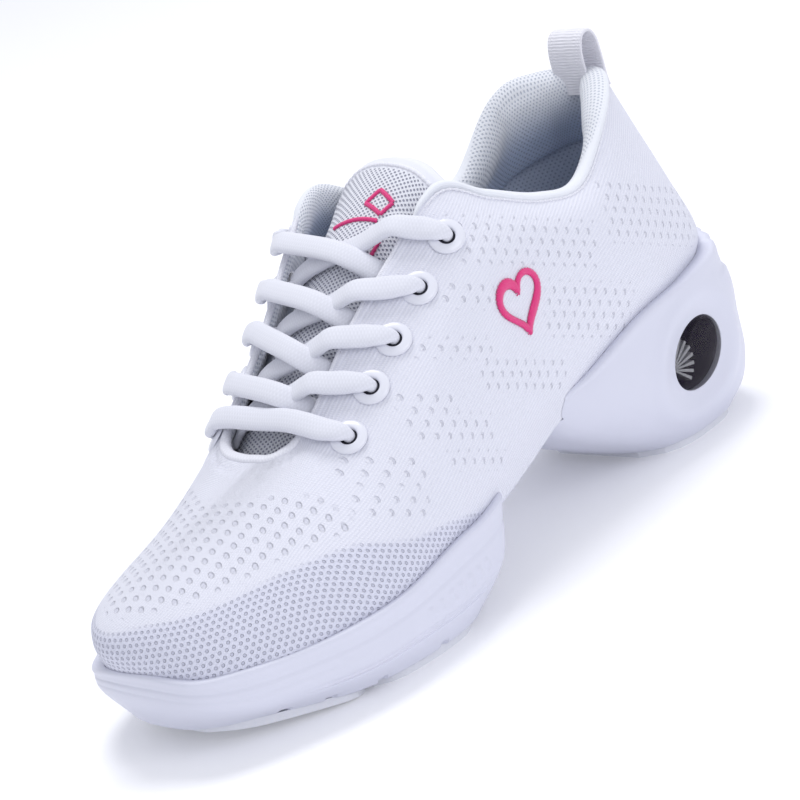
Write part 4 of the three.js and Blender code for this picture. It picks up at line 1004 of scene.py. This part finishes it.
def crossing_node(side, level_from, level_to, share, h, wide=LACE_WIDTH):
    """A point between the facing edges; share runs from side's edge to the other edge."""
    a, b = facing_at(side, level_from)[0], facing_at(OTHER[side], level_to)[0]
    point = upper(a, EDGE) * (1 - share) + upper(b, EDGE) * share
    across = unit((upper(b, EDGE) - upper(a, EDGE)) * np.array([1, 1, 0.3]))
    rise = unit(upper(a + 0.1, 4.0) - upper(a - 0.1, 4.0))
    up = unit(np.cross([1.0, 0, 0], rise * np.array([0.3, 1, 1])))
    up = up if up[2] > 0 else -up
    return point + up * h, unit(np.cross(across, up)), wide, LACE_THICK


# where a strand is between the facing edges, and its height there above their line
CROSSING = (0.07, 0.2, 0.34, 0.5, 0.66, 0.82, 0.96)
OVER_RISE = (-4.6, 0.6, 4.4, 5.2, 4.9, 4.4, 3.9)
UNDER_RISE = (-4.6, -1.8, -0.1, 0.7, 1.1, 2.8, 3.9)
# how many levels a strand gains by the time it passes under and then over the edges
LEAVE = {"over": (0, -0.3, -0.3, -0.3), "under": (0, -0.3, -0.3, -0.15)}
REACH = {"over": (0.6, 0.6, 0.5, 0.38), "under": (0.45, 0.25, 0.2, 0.4)}


def lace_strand(first):
    """Lace from the lowest eyelet of a side up to the highest, criss-crossing."""
    width, thick, round_ = LACE_WIDTH, LACE_THICK, LACE_ROUND
    hidden = -KNIT - LACE_SUNK
    nodes = []
    side = first
    for n in range(5):
        nodes.append(lace_node(side, n, 0.02, 1.7, round_ + 0.4, round_))
        nodes.append(lace_node(side, n, 0, -0.6, round_, round_))
        nodes.append(lace_node(side, n, 0, -3.3, round_, round_))
        if n == 4:
            break
        run = "over" if side == "lateral" else "under"
        leave, reach = n + LEAVE[run][n], n + REACH[run][n]
        for share in (0.12, 0.45, 0.82):
            level = n + (leave - n) * share
            flat = width - 1.6 + 1.6 * min(share * 1.6, 1)
            nodes.append(lace_node(side, level, share, hidden - 0.2 * (1 - share), flat, 2.6))
        for share, h in zip(CROSSING, OVER_RISE if run == "over" else UNDER_RISE):
            nodes.append(crossing_node(side, leave, reach, share, h))
        side = OTHER[side]
        for share, h, flat in ((0.8, 3.3, width), (0.5, 3.1, width), (0.2, 3.0, width - 1.3)):
            nodes.append(lace_node(side, n + 1 + (reach - n - 1) * share, share, h, flat, thick))
    u, v = facing_at(side, 4)
    for dv, h in ((-0.14, -5.2), (-0.5, -6.2), (-0.9, -6.4)):
        point = upper(u, v + dv) + upper_normal(u, v + dv) * h
        nodes.append((point, unit(upper(u + 0.05, v) - upper(u - 0.05, v)), round_ + 0.4, 2.6))
    return nodes


def lace_nodes():
    """The whole lace: one strand, the bar across the lowest eyelets and the other strand."""
    width, thick = LACE_WIDTH, LACE_THICK
    rise = ((0.17, 3.1), (0.5, 3.2), (0.9, 3.4))
    drop = {"lateral": -0.62, "medial": -0.2}
    bar = [lace_node("lateral", drop["lateral"] * w, w, h, width - 1.3 if w < 0.3 else width, thick)
           for w, h in rise]
    bar += [crossing_node("lateral", drop["lateral"], drop["medial"], share, h)
            for share, h in ((0.15, 3.8), (0.5, 3.4), (0.85, 3.8))]
    bar += [lace_node("medial", drop["medial"] * w, w, h, width - 1.3 if w < 0.3 else width, thick)
            for w, h in reversed(rise)]
    return lace_strand("lateral")[::-1] + bar + lace_strand("medial")


def lace(material):
    """The lace and its middle line."""
    nodes = lace_nodes()
    points = np.array([n[0] for n in nodes])
    sides = np.array([n[1] for n in nodes])
    for k in range(1, len(sides)):
        if np.dot(sides[k], sides[k - 1]) < 0:
            sides[k] = -sides[k]
    t = np.linspace(0, len(nodes) - 1, 1500)
    path = catmull(points, t)
    side = unit(np.stack([np.interp(t, np.arange(len(nodes)), sides[:, k]) for k in range(3)], -1))
    wide = np.interp(t, np.arange(len(nodes)), [n[2] for n in nodes])
    thick = np.interp(t, np.arange(len(nodes)), [n[3] for n in nodes])
    return tube("lace_run", path, side, wide, thick, 24, material, 2.35), path


# ------------------------------------------------------------------------- sole units
def ring(control, per):
    """Closed curve through control points, with per points for each of them."""
    control = np.asarray(control, float)
    return catmull(control, np.arange(len(control) * per) / per, True)


def loft(layers, steps):
    """Rings between control rings, at the parameters steps."""
    return catmull(np.stack(layers), np.asarray(steps, float))


def capped(rings, spans=10):
    """Closed solid from stacked rings whose point j faces point n - j across the shoe."""
    rings = np.asarray(rings)
    rows, n = rings.shape[:2]
    half = n // 2
    points = [rings.reshape(-1, 3)]
    faces = grid_faces(rows, n, False, True).tolist()
    for row in (0, rows - 1):
        start = sum(len(p) for p in points)
        share = np.linspace(0, 1, spans + 1)[:, None]
        cap = np.stack([rings[row, j] * (1 - share) + rings[row, (n - j) % n] * share
                        for j in range(half + 1)])
        points.append(cap.reshape(-1, 3))
        faces += (grid_faces(half + 1, spans + 1) + start).tolist()
    return np.concatenate(points), faces


def upper_space(name):
    """Closed body a little larger than the upper, which hollows the sole units."""
    us = np.linspace(0, COLUMNS, 312, endpoint=False)
    low = offset(us, 0.0 * us, SOLE_GAP)
    bottom = np.stack([low[:, 0], low[:, 1], upper(us, 0.0)[:, 2] - SOLE_DROP], 1)
    rings = [bottom] + [offset(us, np.full_like(us, v), SOLE_GAP)
                        for v in (0, 0.15, 0.3, 0.45, 0.6, 0.8, 1.0, 1.3, 1.6, 2.0)]
    points, faces = capped(np.stack(rings), 6)
    return build(name, points, faces, bpy.data.materials.new(name), weld=WELD)


def foam_unit(name, rings, out, lips, foot, material):
    """Sole unit from its side rings, with a rolled top lip and a hollow for the upper."""
    raised = np.array([0, 0, 1.0])
    top = [rings[-1] - out[-1] * inward + raised * rise for inward, rise in lips]
    bottom = rings[0] - out[0] * foot - raised * 0.5
    points, faces = capped(np.concatenate([[bottom], rings, top]), 12)
    obj = build(name, points, faces, material, weld=WELD)
    return cut_with(obj, upper_space(name + "_space"))


def ring_normals(rings):
    """Outward level directions of stacked rings."""
    along = np.roll(rings, -1, 1) - np.roll(rings, 1, 1)
    out = np.stack([along[..., 1], -along[..., 0], 0 * along[..., 0]], -1)
    out = unit(out)
    centre = rings.mean(1, keepdims=True)
    flip = np.sign(((rings - centre) * out).sum(-1).mean())
    return out * flip


def forefoot_unit(material):
    """Front foam unit, with its grooves, slanted bars and tread notches."""
    per = 20
    layers = [ring(c, per) for c in (FORE_EDGE, FORE_SIDE, FORE_RIM)]
    steps = np.linspace(0, 2, 56)
    rings = place(loft(layers, steps))
    out = ring_normals(rings)
    s = DATUM[1] - rings[..., 1]
    x = rings[..., 0] - DATUM[0]
    level = steps[:, None] + 0 * s
    h = 0.0 * s
    h += 0.35 * ridge(level, 1.93, 0.10)
    h -= 0.32 * ridge(level, 1.62, 0.045)
    toe = smooth((s - 200) / 20)
    h -= 0.25 * ridge(level, 1.35, 0.05) * toe
    run = smooth((s - 146) / 12) * smooth((228 - s) / 14) * (x > 0)
    run_in = smooth((s - 150) / 12) * smooth((222 - s) / 14) * (x < 0)
    for line in (0.78, 0.93):
        h -= 0.45 * ridge(level, line, 0.035) * (run + run_in)
    for k in range(7):
        lean = 152 + k * 4.6 + (level - 1.2) * 3.0
        bar = smooth((1.0 - np.abs(s - lean)) / 0.5) * smooth((0.15 - np.abs(level - 1.26)) / 0.04)
        h += 0.45 * bar * (np.abs(x) > 30)
    for notch in (176, 199, 214, 226):
        h -= 1.5 * smooth((1.6 - np.abs(s - notch)) / 0.8) * smooth((0.16 - level) / 0.06)
    lips = ((0.5, 0.45), (1.4, 0.6), (4.5, 0.2))
    obj = foam_unit("forefoot_unit", rings + out * h[..., None], out, lips, 0.7, material)
    crisp(obj)
    return obj


def window_distance(s, z, grow=0.0):
    """1 on the edge of the oval window, growing outwards."""
    ds, dz = s - WINDOW["s"], z - WINDOW["z"]
    c, k = math.cos(WINDOW["tilt"]), math.sin(WINDOW["tilt"])
    a = ds * c - dz * k
    b = -ds * k - dz * c
    return np.sqrt((a / (WINDOW["long"] + grow)) ** 2 + (b / (WINDOW["high"] + grow)) ** 2)


def oval(x, long, high, count=72, lean=0.0):
    """Ring round the window at x; lean tilts it to follow the tapering side."""
    angle = np.linspace(0, 2 * math.pi, count, endpoint=False)
    a, b = np.cos(angle) * long, np.sin(angle) * high
    c, k = math.cos(WINDOW["tilt"]), math.sin(WINDOW["tilt"])
    s = WINDOW["s"] + a * c - b * k
    z = WINDOW["z"] - a * k - b * c
    return place(np.stack([x + lean * (s - WINDOW["s"]), s, z], 1))


def heel_unit(material):
    """Heel foam unit, with a dished oval window through it and flutes at the back."""
    per = 22
    layers = []
    for half in HEEL_RINGS:
        other = [[-p[0] * 0.97, p[1], p[2]] for p in half[-2:0:-1]]
        layers.append(ring(half + other, per))
    steps = np.linspace(0, 5, 96)
    rings = place(loft(layers, steps))
    out = ring_normals(rings)
    s = DATUM[1] - rings[..., 1]
    z = rings[..., 2]
    x = rings[..., 0] - DATUM[0]
    e = window_distance(s, z)
    side = smooth((np.abs(x) - 20) / 8)
    dish = smooth((1.62 - e) / 0.62)
    swell = ridge(e, 1.75, 0.22)
    h = (-1.7 * dish + 0.5 * swell) * side
    back = smooth((6 - s) / 10)
    high = smooth((z - 44.5) / 1.6)
    for flute in (14.5, 19.0, 23.5):
        h -= 0.75 * ridge(np.abs(x), flute, 1.0) * high * back
    h += 1.0 * smooth((45.5 - z) / 1.2) * smooth((z - 30) / 12) * back
    h += 0.3 * ridge(steps[:, None] + 0 * s, 4.9, 0.12)
    lips = ((0.6, 0.5), (1.6, 0.6), (5.0, 0.0))
    obj = foam_unit("heel_unit", rings + out * h[..., None], out, lips, 0.8, material)
    bar_points, bar_faces = sweep([oval(x_, WINDOW["long"], WINDOW["high"]) for x_ in (-60, -20, 20, 60)])
    cut_with(obj, build("window_space", bar_points, bar_faces, bpy.data.materials.new("window_space")))
    crisp(obj)
    return obj


def window_lens(name, sign, material):
    """Domed smoky window, closed at the back."""
    scales = [(0.98, 34.6), (1.0, 35.4), (0.99, 36.1), (0.94, 36.9), (0.84, 37.6), (0.66, 38.2),
              (0.4, 38.6), (0.14, 38.7)]
    rings = [oval(sign * x, (WINDOW["long"] - 0.15) * k, (WINDOW["high"] - 0.15) * k, lean=sign * 0.06)
             for k, x in scales]
    points, faces = sweep(rings)
    return build(name, points, faces, material)


def cushion_blades(materials):
    """Silver fan of blades in a dark oval cup behind each window, joined by a bar."""
    points, faces = [], []

    def add(more_points, more_faces):
        start = len(points)
        points.extend(more_points)
        faces.extend([[start + k for k in face] for face in more_faces])

    long, high = WINDOW["long"] - 0.25, WINDOW["high"] - 0.25
    profile = [(-33.8, 1.0), (-33.8, 0.95), (-22, 0.92), (-21.5, 0.88)]
    for sign in (-1, 1):
        walls = [oval(sign * 21.0, long, high)] + [oval(-sign * x, long * k, high * k) for x, k in profile]
        add(*sweep(walls))
    add(*sweep([oval(x, long, high) for x in (-20.9, 20.9)]))
    housing = len(faces)
    for sign in (-1, 1):
        hub = place(np.array([0, WINDOW["s"] + 10.5, WINDOW["z"] - 1.5]))
        for k in range(9):
            angle = math.radians(-40 + k * 15)
            reach = 12.0 - 0.2 * abs(k - 4) ** 1.5
            direction = np.array([0, math.cos(angle), math.sin(angle)])
            across = np.array([0, -math.sin(angle), math.cos(angle)])
            block = []
            for x, size in ((22.0, 1.0), (33.4, 0.9)):
                for along, half in ((1.2, 0.25), (reach * size, 0.55)):
                    for edge in (-1, 1):
                        block.append(hub + direction * along + across * edge * half
                                     + np.array([sign * x, 0, 0]))
            add(block, [[0, 1, 3, 2], [4, 6, 7, 5], [0, 4, 5, 1], [2, 3, 7, 6], [0, 2, 6, 4], [1, 5, 7, 3]])
    obj = build("cushion_blades", np.array(points), faces, materials)
    for face in obj.data.polygons[housing:]:
        face.material_index = 1
        face.use_smooth = False
    return obj


# ----------------------------------------------------------------------- smaller pieces
def thread_run(name, starts, ends, normals, rise, size, material):
    """Satin stitching: one short arched thread for each pair of ends."""
    points, faces, uvs = [], [], []
    corners, spans = 6, 6
    share = np.linspace(0, 1, spans + 1)
    for a, b, n in zip(starts, ends, normals):
        path = a + (b - a) * share[:, None] + n * (rise * np.sin(share * math.pi) ** 0.6)[:, None]
        fat = size * (0.55 + 0.45 * np.sin(share * math.pi) ** 0.5)
        rings = tube_rings(path, np.repeat(np.cross(n, unit(b - a))[None], len(path), 0), fat * 1.25, fat,
                           corners)
        p, f = sweep(rings)
        start = sum(len(k) for k in points)
        points.append(p)
        faces += [[start + k for k in face] for face in f]
        uv = tube_maps(path, rings, corners)
        uvs.append(uv)
        uvs.append(np.zeros(((len(f) - len(uv) // 4) * 3, 2)))
    return build(name, np.concatenate(points), faces, material, {"flat": np.concatenate(uvs)})


def side_point(s, z):
    """Upper point and normal at a station and height on the outer side."""
    u = np.full_like(s, 5.0)
    v = np.full_like(s, 2.0)
    for _ in range(40):
        p = upper(u, v)
        u = u - ((DATUM[1] - p[..., 1]) - s) / 23
        v = v - (p[..., 2] - z) / 22
    return upper(u, v), upper_normal(u, v)


def heart_embroidery(material):
    """Heart outline in satin stitching on the outer side."""
    size, centre_s, centre_z = 9.6, 98.0, 78.0
    t = np.linspace(0, 2 * math.pi, 2000)
    across = np.sin(t) ** 3 * size
    rise = (13 * np.cos(t) - 5 * np.cos(2 * t) - 2 * np.cos(3 * t) - np.cos(4 * t)) / 16 * size
    arc = np.concatenate([[0], np.cumsum(np.hypot(np.diff(across), np.diff(rise)))])
    even = np.arange(0, arc[-1], 0.40)
    a, b = np.interp(even, arc, across), np.interp(even, arc, rise)
    da, db = np.gradient(a), np.gradient(b)
    length = np.hypot(da, db)
    na, nb = db / length, -da / length
    smooth_n = np.stack([np.convolve(np.tile(k, 3), np.ones(7) / 7, "same")[len(k):2 * len(k)]
                         for k in (na, nb)], -1)
    smooth_n = unit(smooth_n)
    half = 1.35 + 0.35 * np.sin(even / arc[-1] * 2 * math.pi * 2) + 0.12 * np.sin(even * 9.7)
    slant = 0.35
    one = (a + smooth_n[:, 0] * half - smooth_n[:, 1] * slant,
           b + smooth_n[:, 1] * half + smooth_n[:, 0] * slant)
    two = (a - smooth_n[:, 0] * half, b - smooth_n[:, 1] * half)
    p1, n1 = side_point(centre_s + one[0], centre_z + one[1])
    p2, n2 = side_point(centre_s + two[0], centre_z + two[1])
    n = unit(n1 + n2)
    return thread_run("heart_embroidery", p1 + n * 0.2, p2 + n * 0.2, n, 0.55, 0.5, material)


def tongue_line(corners, half, name, material, closed=True):
    """Satin stitching along a polygon given in tongue rows and shares of its width."""
    corners = np.array(corners + ([corners[0]] if closed else []), float)
    starts, ends, normals = [], [], []
    for (r0, w0), (r1, w1) in zip(corners[:-1], corners[1:]):
        a, b = tongue_point(np.array(r0), np.array(w0)), tongue_point(np.array(r1), np.array(w1))
        count = max(3, int(np.linalg.norm(b - a) / 0.42))
        for k in range(count):
            share = (k + 0.5) / count
            r, w = r0 + (r1 - r0) * share, w0 + (w1 - w0) * share
            n = tongue_normal(np.array(r), np.array(w))
            p = tongue_point(np.array(r), np.array(w)) + n * 0.3
            across = unit(np.cross(n, b - a))
            wobble = half * (1 + 0.12 * math.sin(k * 2.7))
            starts.append(p + across * wobble)
            ends.append(p - across * wobble)
            normals.append(n)
    return thread_run(name, np.array(starts), np.array(ends), np.array(normals), 0.45, 0.5, material)


def pull_loop_webbing(material):
    """Ribbed webbing folded into a finger loop at the back of the collar."""
    profile = [(11.2, 111), (11.3, 115), (11.6, 119), (11.6, 123), (10.9, 127), (9.2, 130.0),
               (6.8, 130.9), (4.6, 130.0), (3.2, 127), (2.9, 123), (2.9, 119), (3.0, 115), (2.6, 111)]
    t = np.linspace(0, len(profile) - 1, 260)
    line = catmull(np.array(profile, float), t)
    arc = run_length(line)
    path = place(np.stack([0 * line[:, 0], line[:, 0], line[:, 1]], 1))
    ribs = 1.25 + 0.16 * np.sin(arc * 2 * math.pi / 0.95)
    across = np.tile([1.0, 0, 0], (len(path), 1))
    return tube("pull_loop_webbing", path, across, WEBBING_WIDTH, ribs, 28, material, 5.0)


def heel_stay(material):
    """Flat webbing down the back of the heel that holds the pull loop."""
    us = np.linspace(-0.36, 0.36, 25)
    vs = np.linspace(3.05, 3.84, 60)
    uu, vv = np.meshgrid(us, vs, indexing="ij")
    cross = np.abs(uu) / 0.36
    down = (vv - 3.05) / 0.79
    h = 1.0 - 0.5 * smooth((cross - 0.85) / 0.15)
    stitch = np.maximum(ridge(cross, 0.78, 0.05), ridge(down, 0.08, 0.03))
    h = h - 0.3 * stitch
    outer, inner = offset(uu, vv, h), offset(uu, vv, 0 * uu + 0.05)
    table = np.concatenate([outer, inner[::-1]], 0)
    rows, cols = table.shape[:2]
    faces = grid_faces(rows, cols, True, False).tolist()
    n = len(us)
    for k in (0, cols - 1):
        for r in range(n - 1):
            faces.append([r * cols + k, (r + 1) * cols + k,
                          (rows - 2 - r) * cols + k, (rows - 1 - r) * cols + k])
    points = table.reshape(-1, 3)
    return build("heel_stay", points, faces, material, {"flat": face_pairs(points[:, ::2], faces)})


def insole_pad(material):
    """Insole with a raised rim and a low arch support on the inner side."""
    us = np.linspace(0.75, 12.2, 120)
    across = np.linspace(0, 1, 25)
    a = offset(us, 0 * us, -5.4)
    b = offset(COLUMNS - us, 0 * us, -5.4)
    za, zb = upper(us, 0.0)[:, 2], upper(COLUMNS - us, 0.0)[:, 2]
    w = across[None, :, None]
    base = a[:, None] * (1 - w) + b[:, None] * w
    z = za[:, None] * (1 - across) + zb[:, None] * across
    crown = (2 * np.abs(across - 0.5)) ** 3
    s = DATUM[1] - base[..., 1]
    arch = smooth((s - 60) / 30) * smooth((150 - s) / 30)
    top_z = z + 3.6 + 1.1 * crown[None] + 1.6 * arch * smooth((across - 0.55) / 0.45)[None]
    low_z = z + 1.2
    top = np.stack([base[..., 0], base[..., 1], top_z], -1)
    low = np.stack([base[..., 0], base[..., 1], low_z], -1)
    table = np.concatenate([top, low[:, ::-1]], 1)
    rows, cols = table.shape[:2]
    faces = grid_faces(rows, cols, False, True).tolist()
    n = len(across)
    for r in (0, rows - 1):
        for c in range(n - 1):
            faces.append([r * cols + c, r * cols + c + 1, r * cols + cols - 2 - c, r * cols + cols - 1 - c])
    points = table.reshape(-1, 3)
    return build("insole_pad", points, faces, material, {"flat": face_pairs(points[:, :2], faces)})


# -------------------------------------------------------------------------- assembling
def bend(obj):
    """Bakes a soft piece's placement into its mesh."""
    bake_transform(obj)


def finish_cad_nodes():
    """Materials for the frame pieces that stay in view or inside the shoe."""
    board = plain_board_material("board_fibre", (0.62, 0.60, 0.56))
    rubber = foam_material("pale_rubber", (0.78, 0.79, 0.84), 0.6, 0.12)
    for name in ("toe_puff", "heel_counter", "eyestay_lateral", "eyestay_medial",
                 "strobel_board_front", "strobel_board_rear"):
        assign(name, board)
    for name in ("forefoot_tread", "toe_tread", "heel_tread"):
        assign(name, rubber)


def assign(name, material):
    """Gives a frame piece a material."""
    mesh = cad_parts[name].data
    if len(mesh.materials):
        for k in range(len(mesh.materials)):
            mesh.materials[k] = material
    else:
        mesh.materials.append(material)


add_camera()
add_studio()

KNIT_CLOTH = knit_material()
# painted shade: the lining's own pale grey is darkened to a blue-grey, and its holes to a deep navy, as the
# shade inside the shoe
LINER_SHADE_CLOTH = mesh_material("lining_mesh_shade", 1.9, 2.5, 0.36, (0.19, 0.23, 0.34), (0.48, 0.535, 0.66),
                            depth=0.3, dark=0.55)
# painted shade: the collar mesh's holes are blue-grey, and it darkens to a deeper blue further down inside
# the roll
ROLL_CLOTH = mesh_material("collar_mesh", 1.45, 2.0, 0.32, (0.40, 0.45, 0.56), (0.85, 0.87, 0.92),
                           depth=0.35, dark=0.6, mask="open_mesh", depth_shade=(0.42, 0.49, 0.65))
# painted shade: the tongue mesh's holes are near-navy, as the shade inside them
TONGUE_CLOTH = mesh_material("tongue_mesh", 1.55, 1.8, 0.34, (0.16, 0.17, 0.27), (0.83, 0.84, 0.905),
                             depth=0.5, dark=0.8, mask="open_mesh")
LACE_CLOTH = woven_material("lace_weave", (0.77, 0.78, 0.85), 0.9, 0.75, 0.06)
EDGE_CLOTH = woven_material("edge_weave", (0.82, 0.825, 0.89), 1.0, 0.75, 0.10)
WEBBING = woven_material("webbing", (0.82, 0.815, 0.87), 0.95, 0.7, 0.08)
FOAM = foam_material("foam_skin", (0.675, 0.685, 0.785), 0.42, 0.03, Subsurface_Weight=0.0)
INSOLE_CLOTH = woven_material("insole_cloth", (0.60, 0.63, 0.70), 1.4, 0.85, 0.1)
PINK = thread_material("pink_thread", (0.84, 0.025, 0.23))
CLEAR = foam_material("washer_plastic", (0.76, 0.77, 0.84), 0.3, 0.01, Coat_Weight=0.4)
# painted shade: near-black, for the eyelets' holes
WELL_SHADE = foam_material("eyelet_well_shade", (0.008, 0.008, 0.02), 0.7, 0.02)
SMOKE = foam_material("smoke_window", (0.012, 0.008, 0.02), 0.08, 0.0, 0.02, Alpha=0.3,
                      Specular_IOR_Level=0.25, Coat_Weight=0.2, Coat_Roughness=0.03)
HOUSING = foam_material("dark_housing", (0.02, 0.014, 0.032), 0.25, 0.0, 0.02, Specular_IOR_Level=0.3)
SILVER = foam_material("silver_blade", (0.93, 0.94, 0.97), 0.25, 0.0, 0.02, Metallic=0.4)

upper_piece = knit_upper(KNIT_CLOTH)
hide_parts("upper_front", "upper_rear", "waist_band")
bend(upper_piece)

lining_piece = sock_lining(LINER_SHADE_CLOTH)
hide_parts("vamp_lining", "heel_lining")
bend(lining_piece)

roll_piece = collar_roll(ROLL_CLOTH)
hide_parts("collar_padding", "collar_piping")
bend(roll_piece)

for side_name, first_u, last_u in (("lateral", 6.3, 10.2), ("medial", 15.8, 19.7)):
    strip_piece = facing_lining(f"facing_lining_{side_name}", first_u, last_u, ROLL_CLOTH)
    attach(strip_piece, "forefoot")

stitch_piece = collar_stitch(EDGE_CLOTH)
bend(stitch_piece)

throat_piece = throat_edge(EDGE_CLOTH)
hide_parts("throat_binding")
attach(throat_piece, "forefoot")

tongue_piece = tongue_pad(TONGUE_CLOTH)
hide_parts("tongue_lower", "tongue_tip")
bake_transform(tongue_piece)

binding_piece = tongue_binding(EDGE_CLOTH)
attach(binding_piece, "tongue_flap")

for side_name in ("lateral", "medial"):
    for number, (hole_u, hole_v) in enumerate(HOLES[side_name], 1):
        washer = eyelet_ring(f"eyelet_ring_{side_name}_{number}", hole_u, hole_v, [CLEAR, WELL_SHADE])
        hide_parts(f"eyelet_{side_name}_{number}")
        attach(washer, "forefoot")

lace_piece, lace_path = lace(LACE_CLOTH)
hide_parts("lace")
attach(lace_piece, "forefoot")

fore_piece = forefoot_unit(FOAM)
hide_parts("forefoot_midsole")
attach(fore_piece, "forefoot")

heel_piece = heel_unit(FOAM)
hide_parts("heel_midsole")
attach(heel_piece, "rearfoot")

for side_name, sign in (("lateral", 1), ("medial", -1)):
    lens_piece = window_lens(f"window_lens_{side_name}", sign, SMOKE)
    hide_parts(f"cushion_lens_{side_name}")
    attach(lens_piece, "rearfoot")

blade_piece = cushion_blades([HOUSING, SILVER])
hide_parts("cushion_core")
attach(blade_piece, "rearfoot")

heart_piece = heart_embroidery(PINK)
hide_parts("heart_stitch")
bend(heart_piece)

bar_piece = tongue_line([(2.36, -0.38), (2.24, 0.34)], 0.7, "tongue_bar_stitch", PINK, closed=False)
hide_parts("tongue_bar")
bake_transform(bar_piece)

diamond_piece = tongue_line([(1.60, 0.18), (1.80, 0.44), (2.12, 0.34), (1.98, 0.04)], 0.7,
                            "tongue_diamond_stitch", PINK)
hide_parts("tongue_diamond")
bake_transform(diamond_piece)

chevron_piece = tongue_line([(2.78, 0.07), (2.50, 0.48), (2.82, 0.44)], 0.6, "tongue_chevron_stitch",
                            PINK, closed=False)
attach(chevron_piece, "forefoot")

loop_piece = pull_loop_webbing(WEBBING)
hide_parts("pull_tab")
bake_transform(loop_piece)

stay_piece = heel_stay(WEBBING)
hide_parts("pull_tab_anchor")
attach(stay_piece, "rearfoot")

insole_piece = insole_pad(INSOLE_CLOTH)
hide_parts("insole")
bend(insole_piece)

finish_cad_nodes()
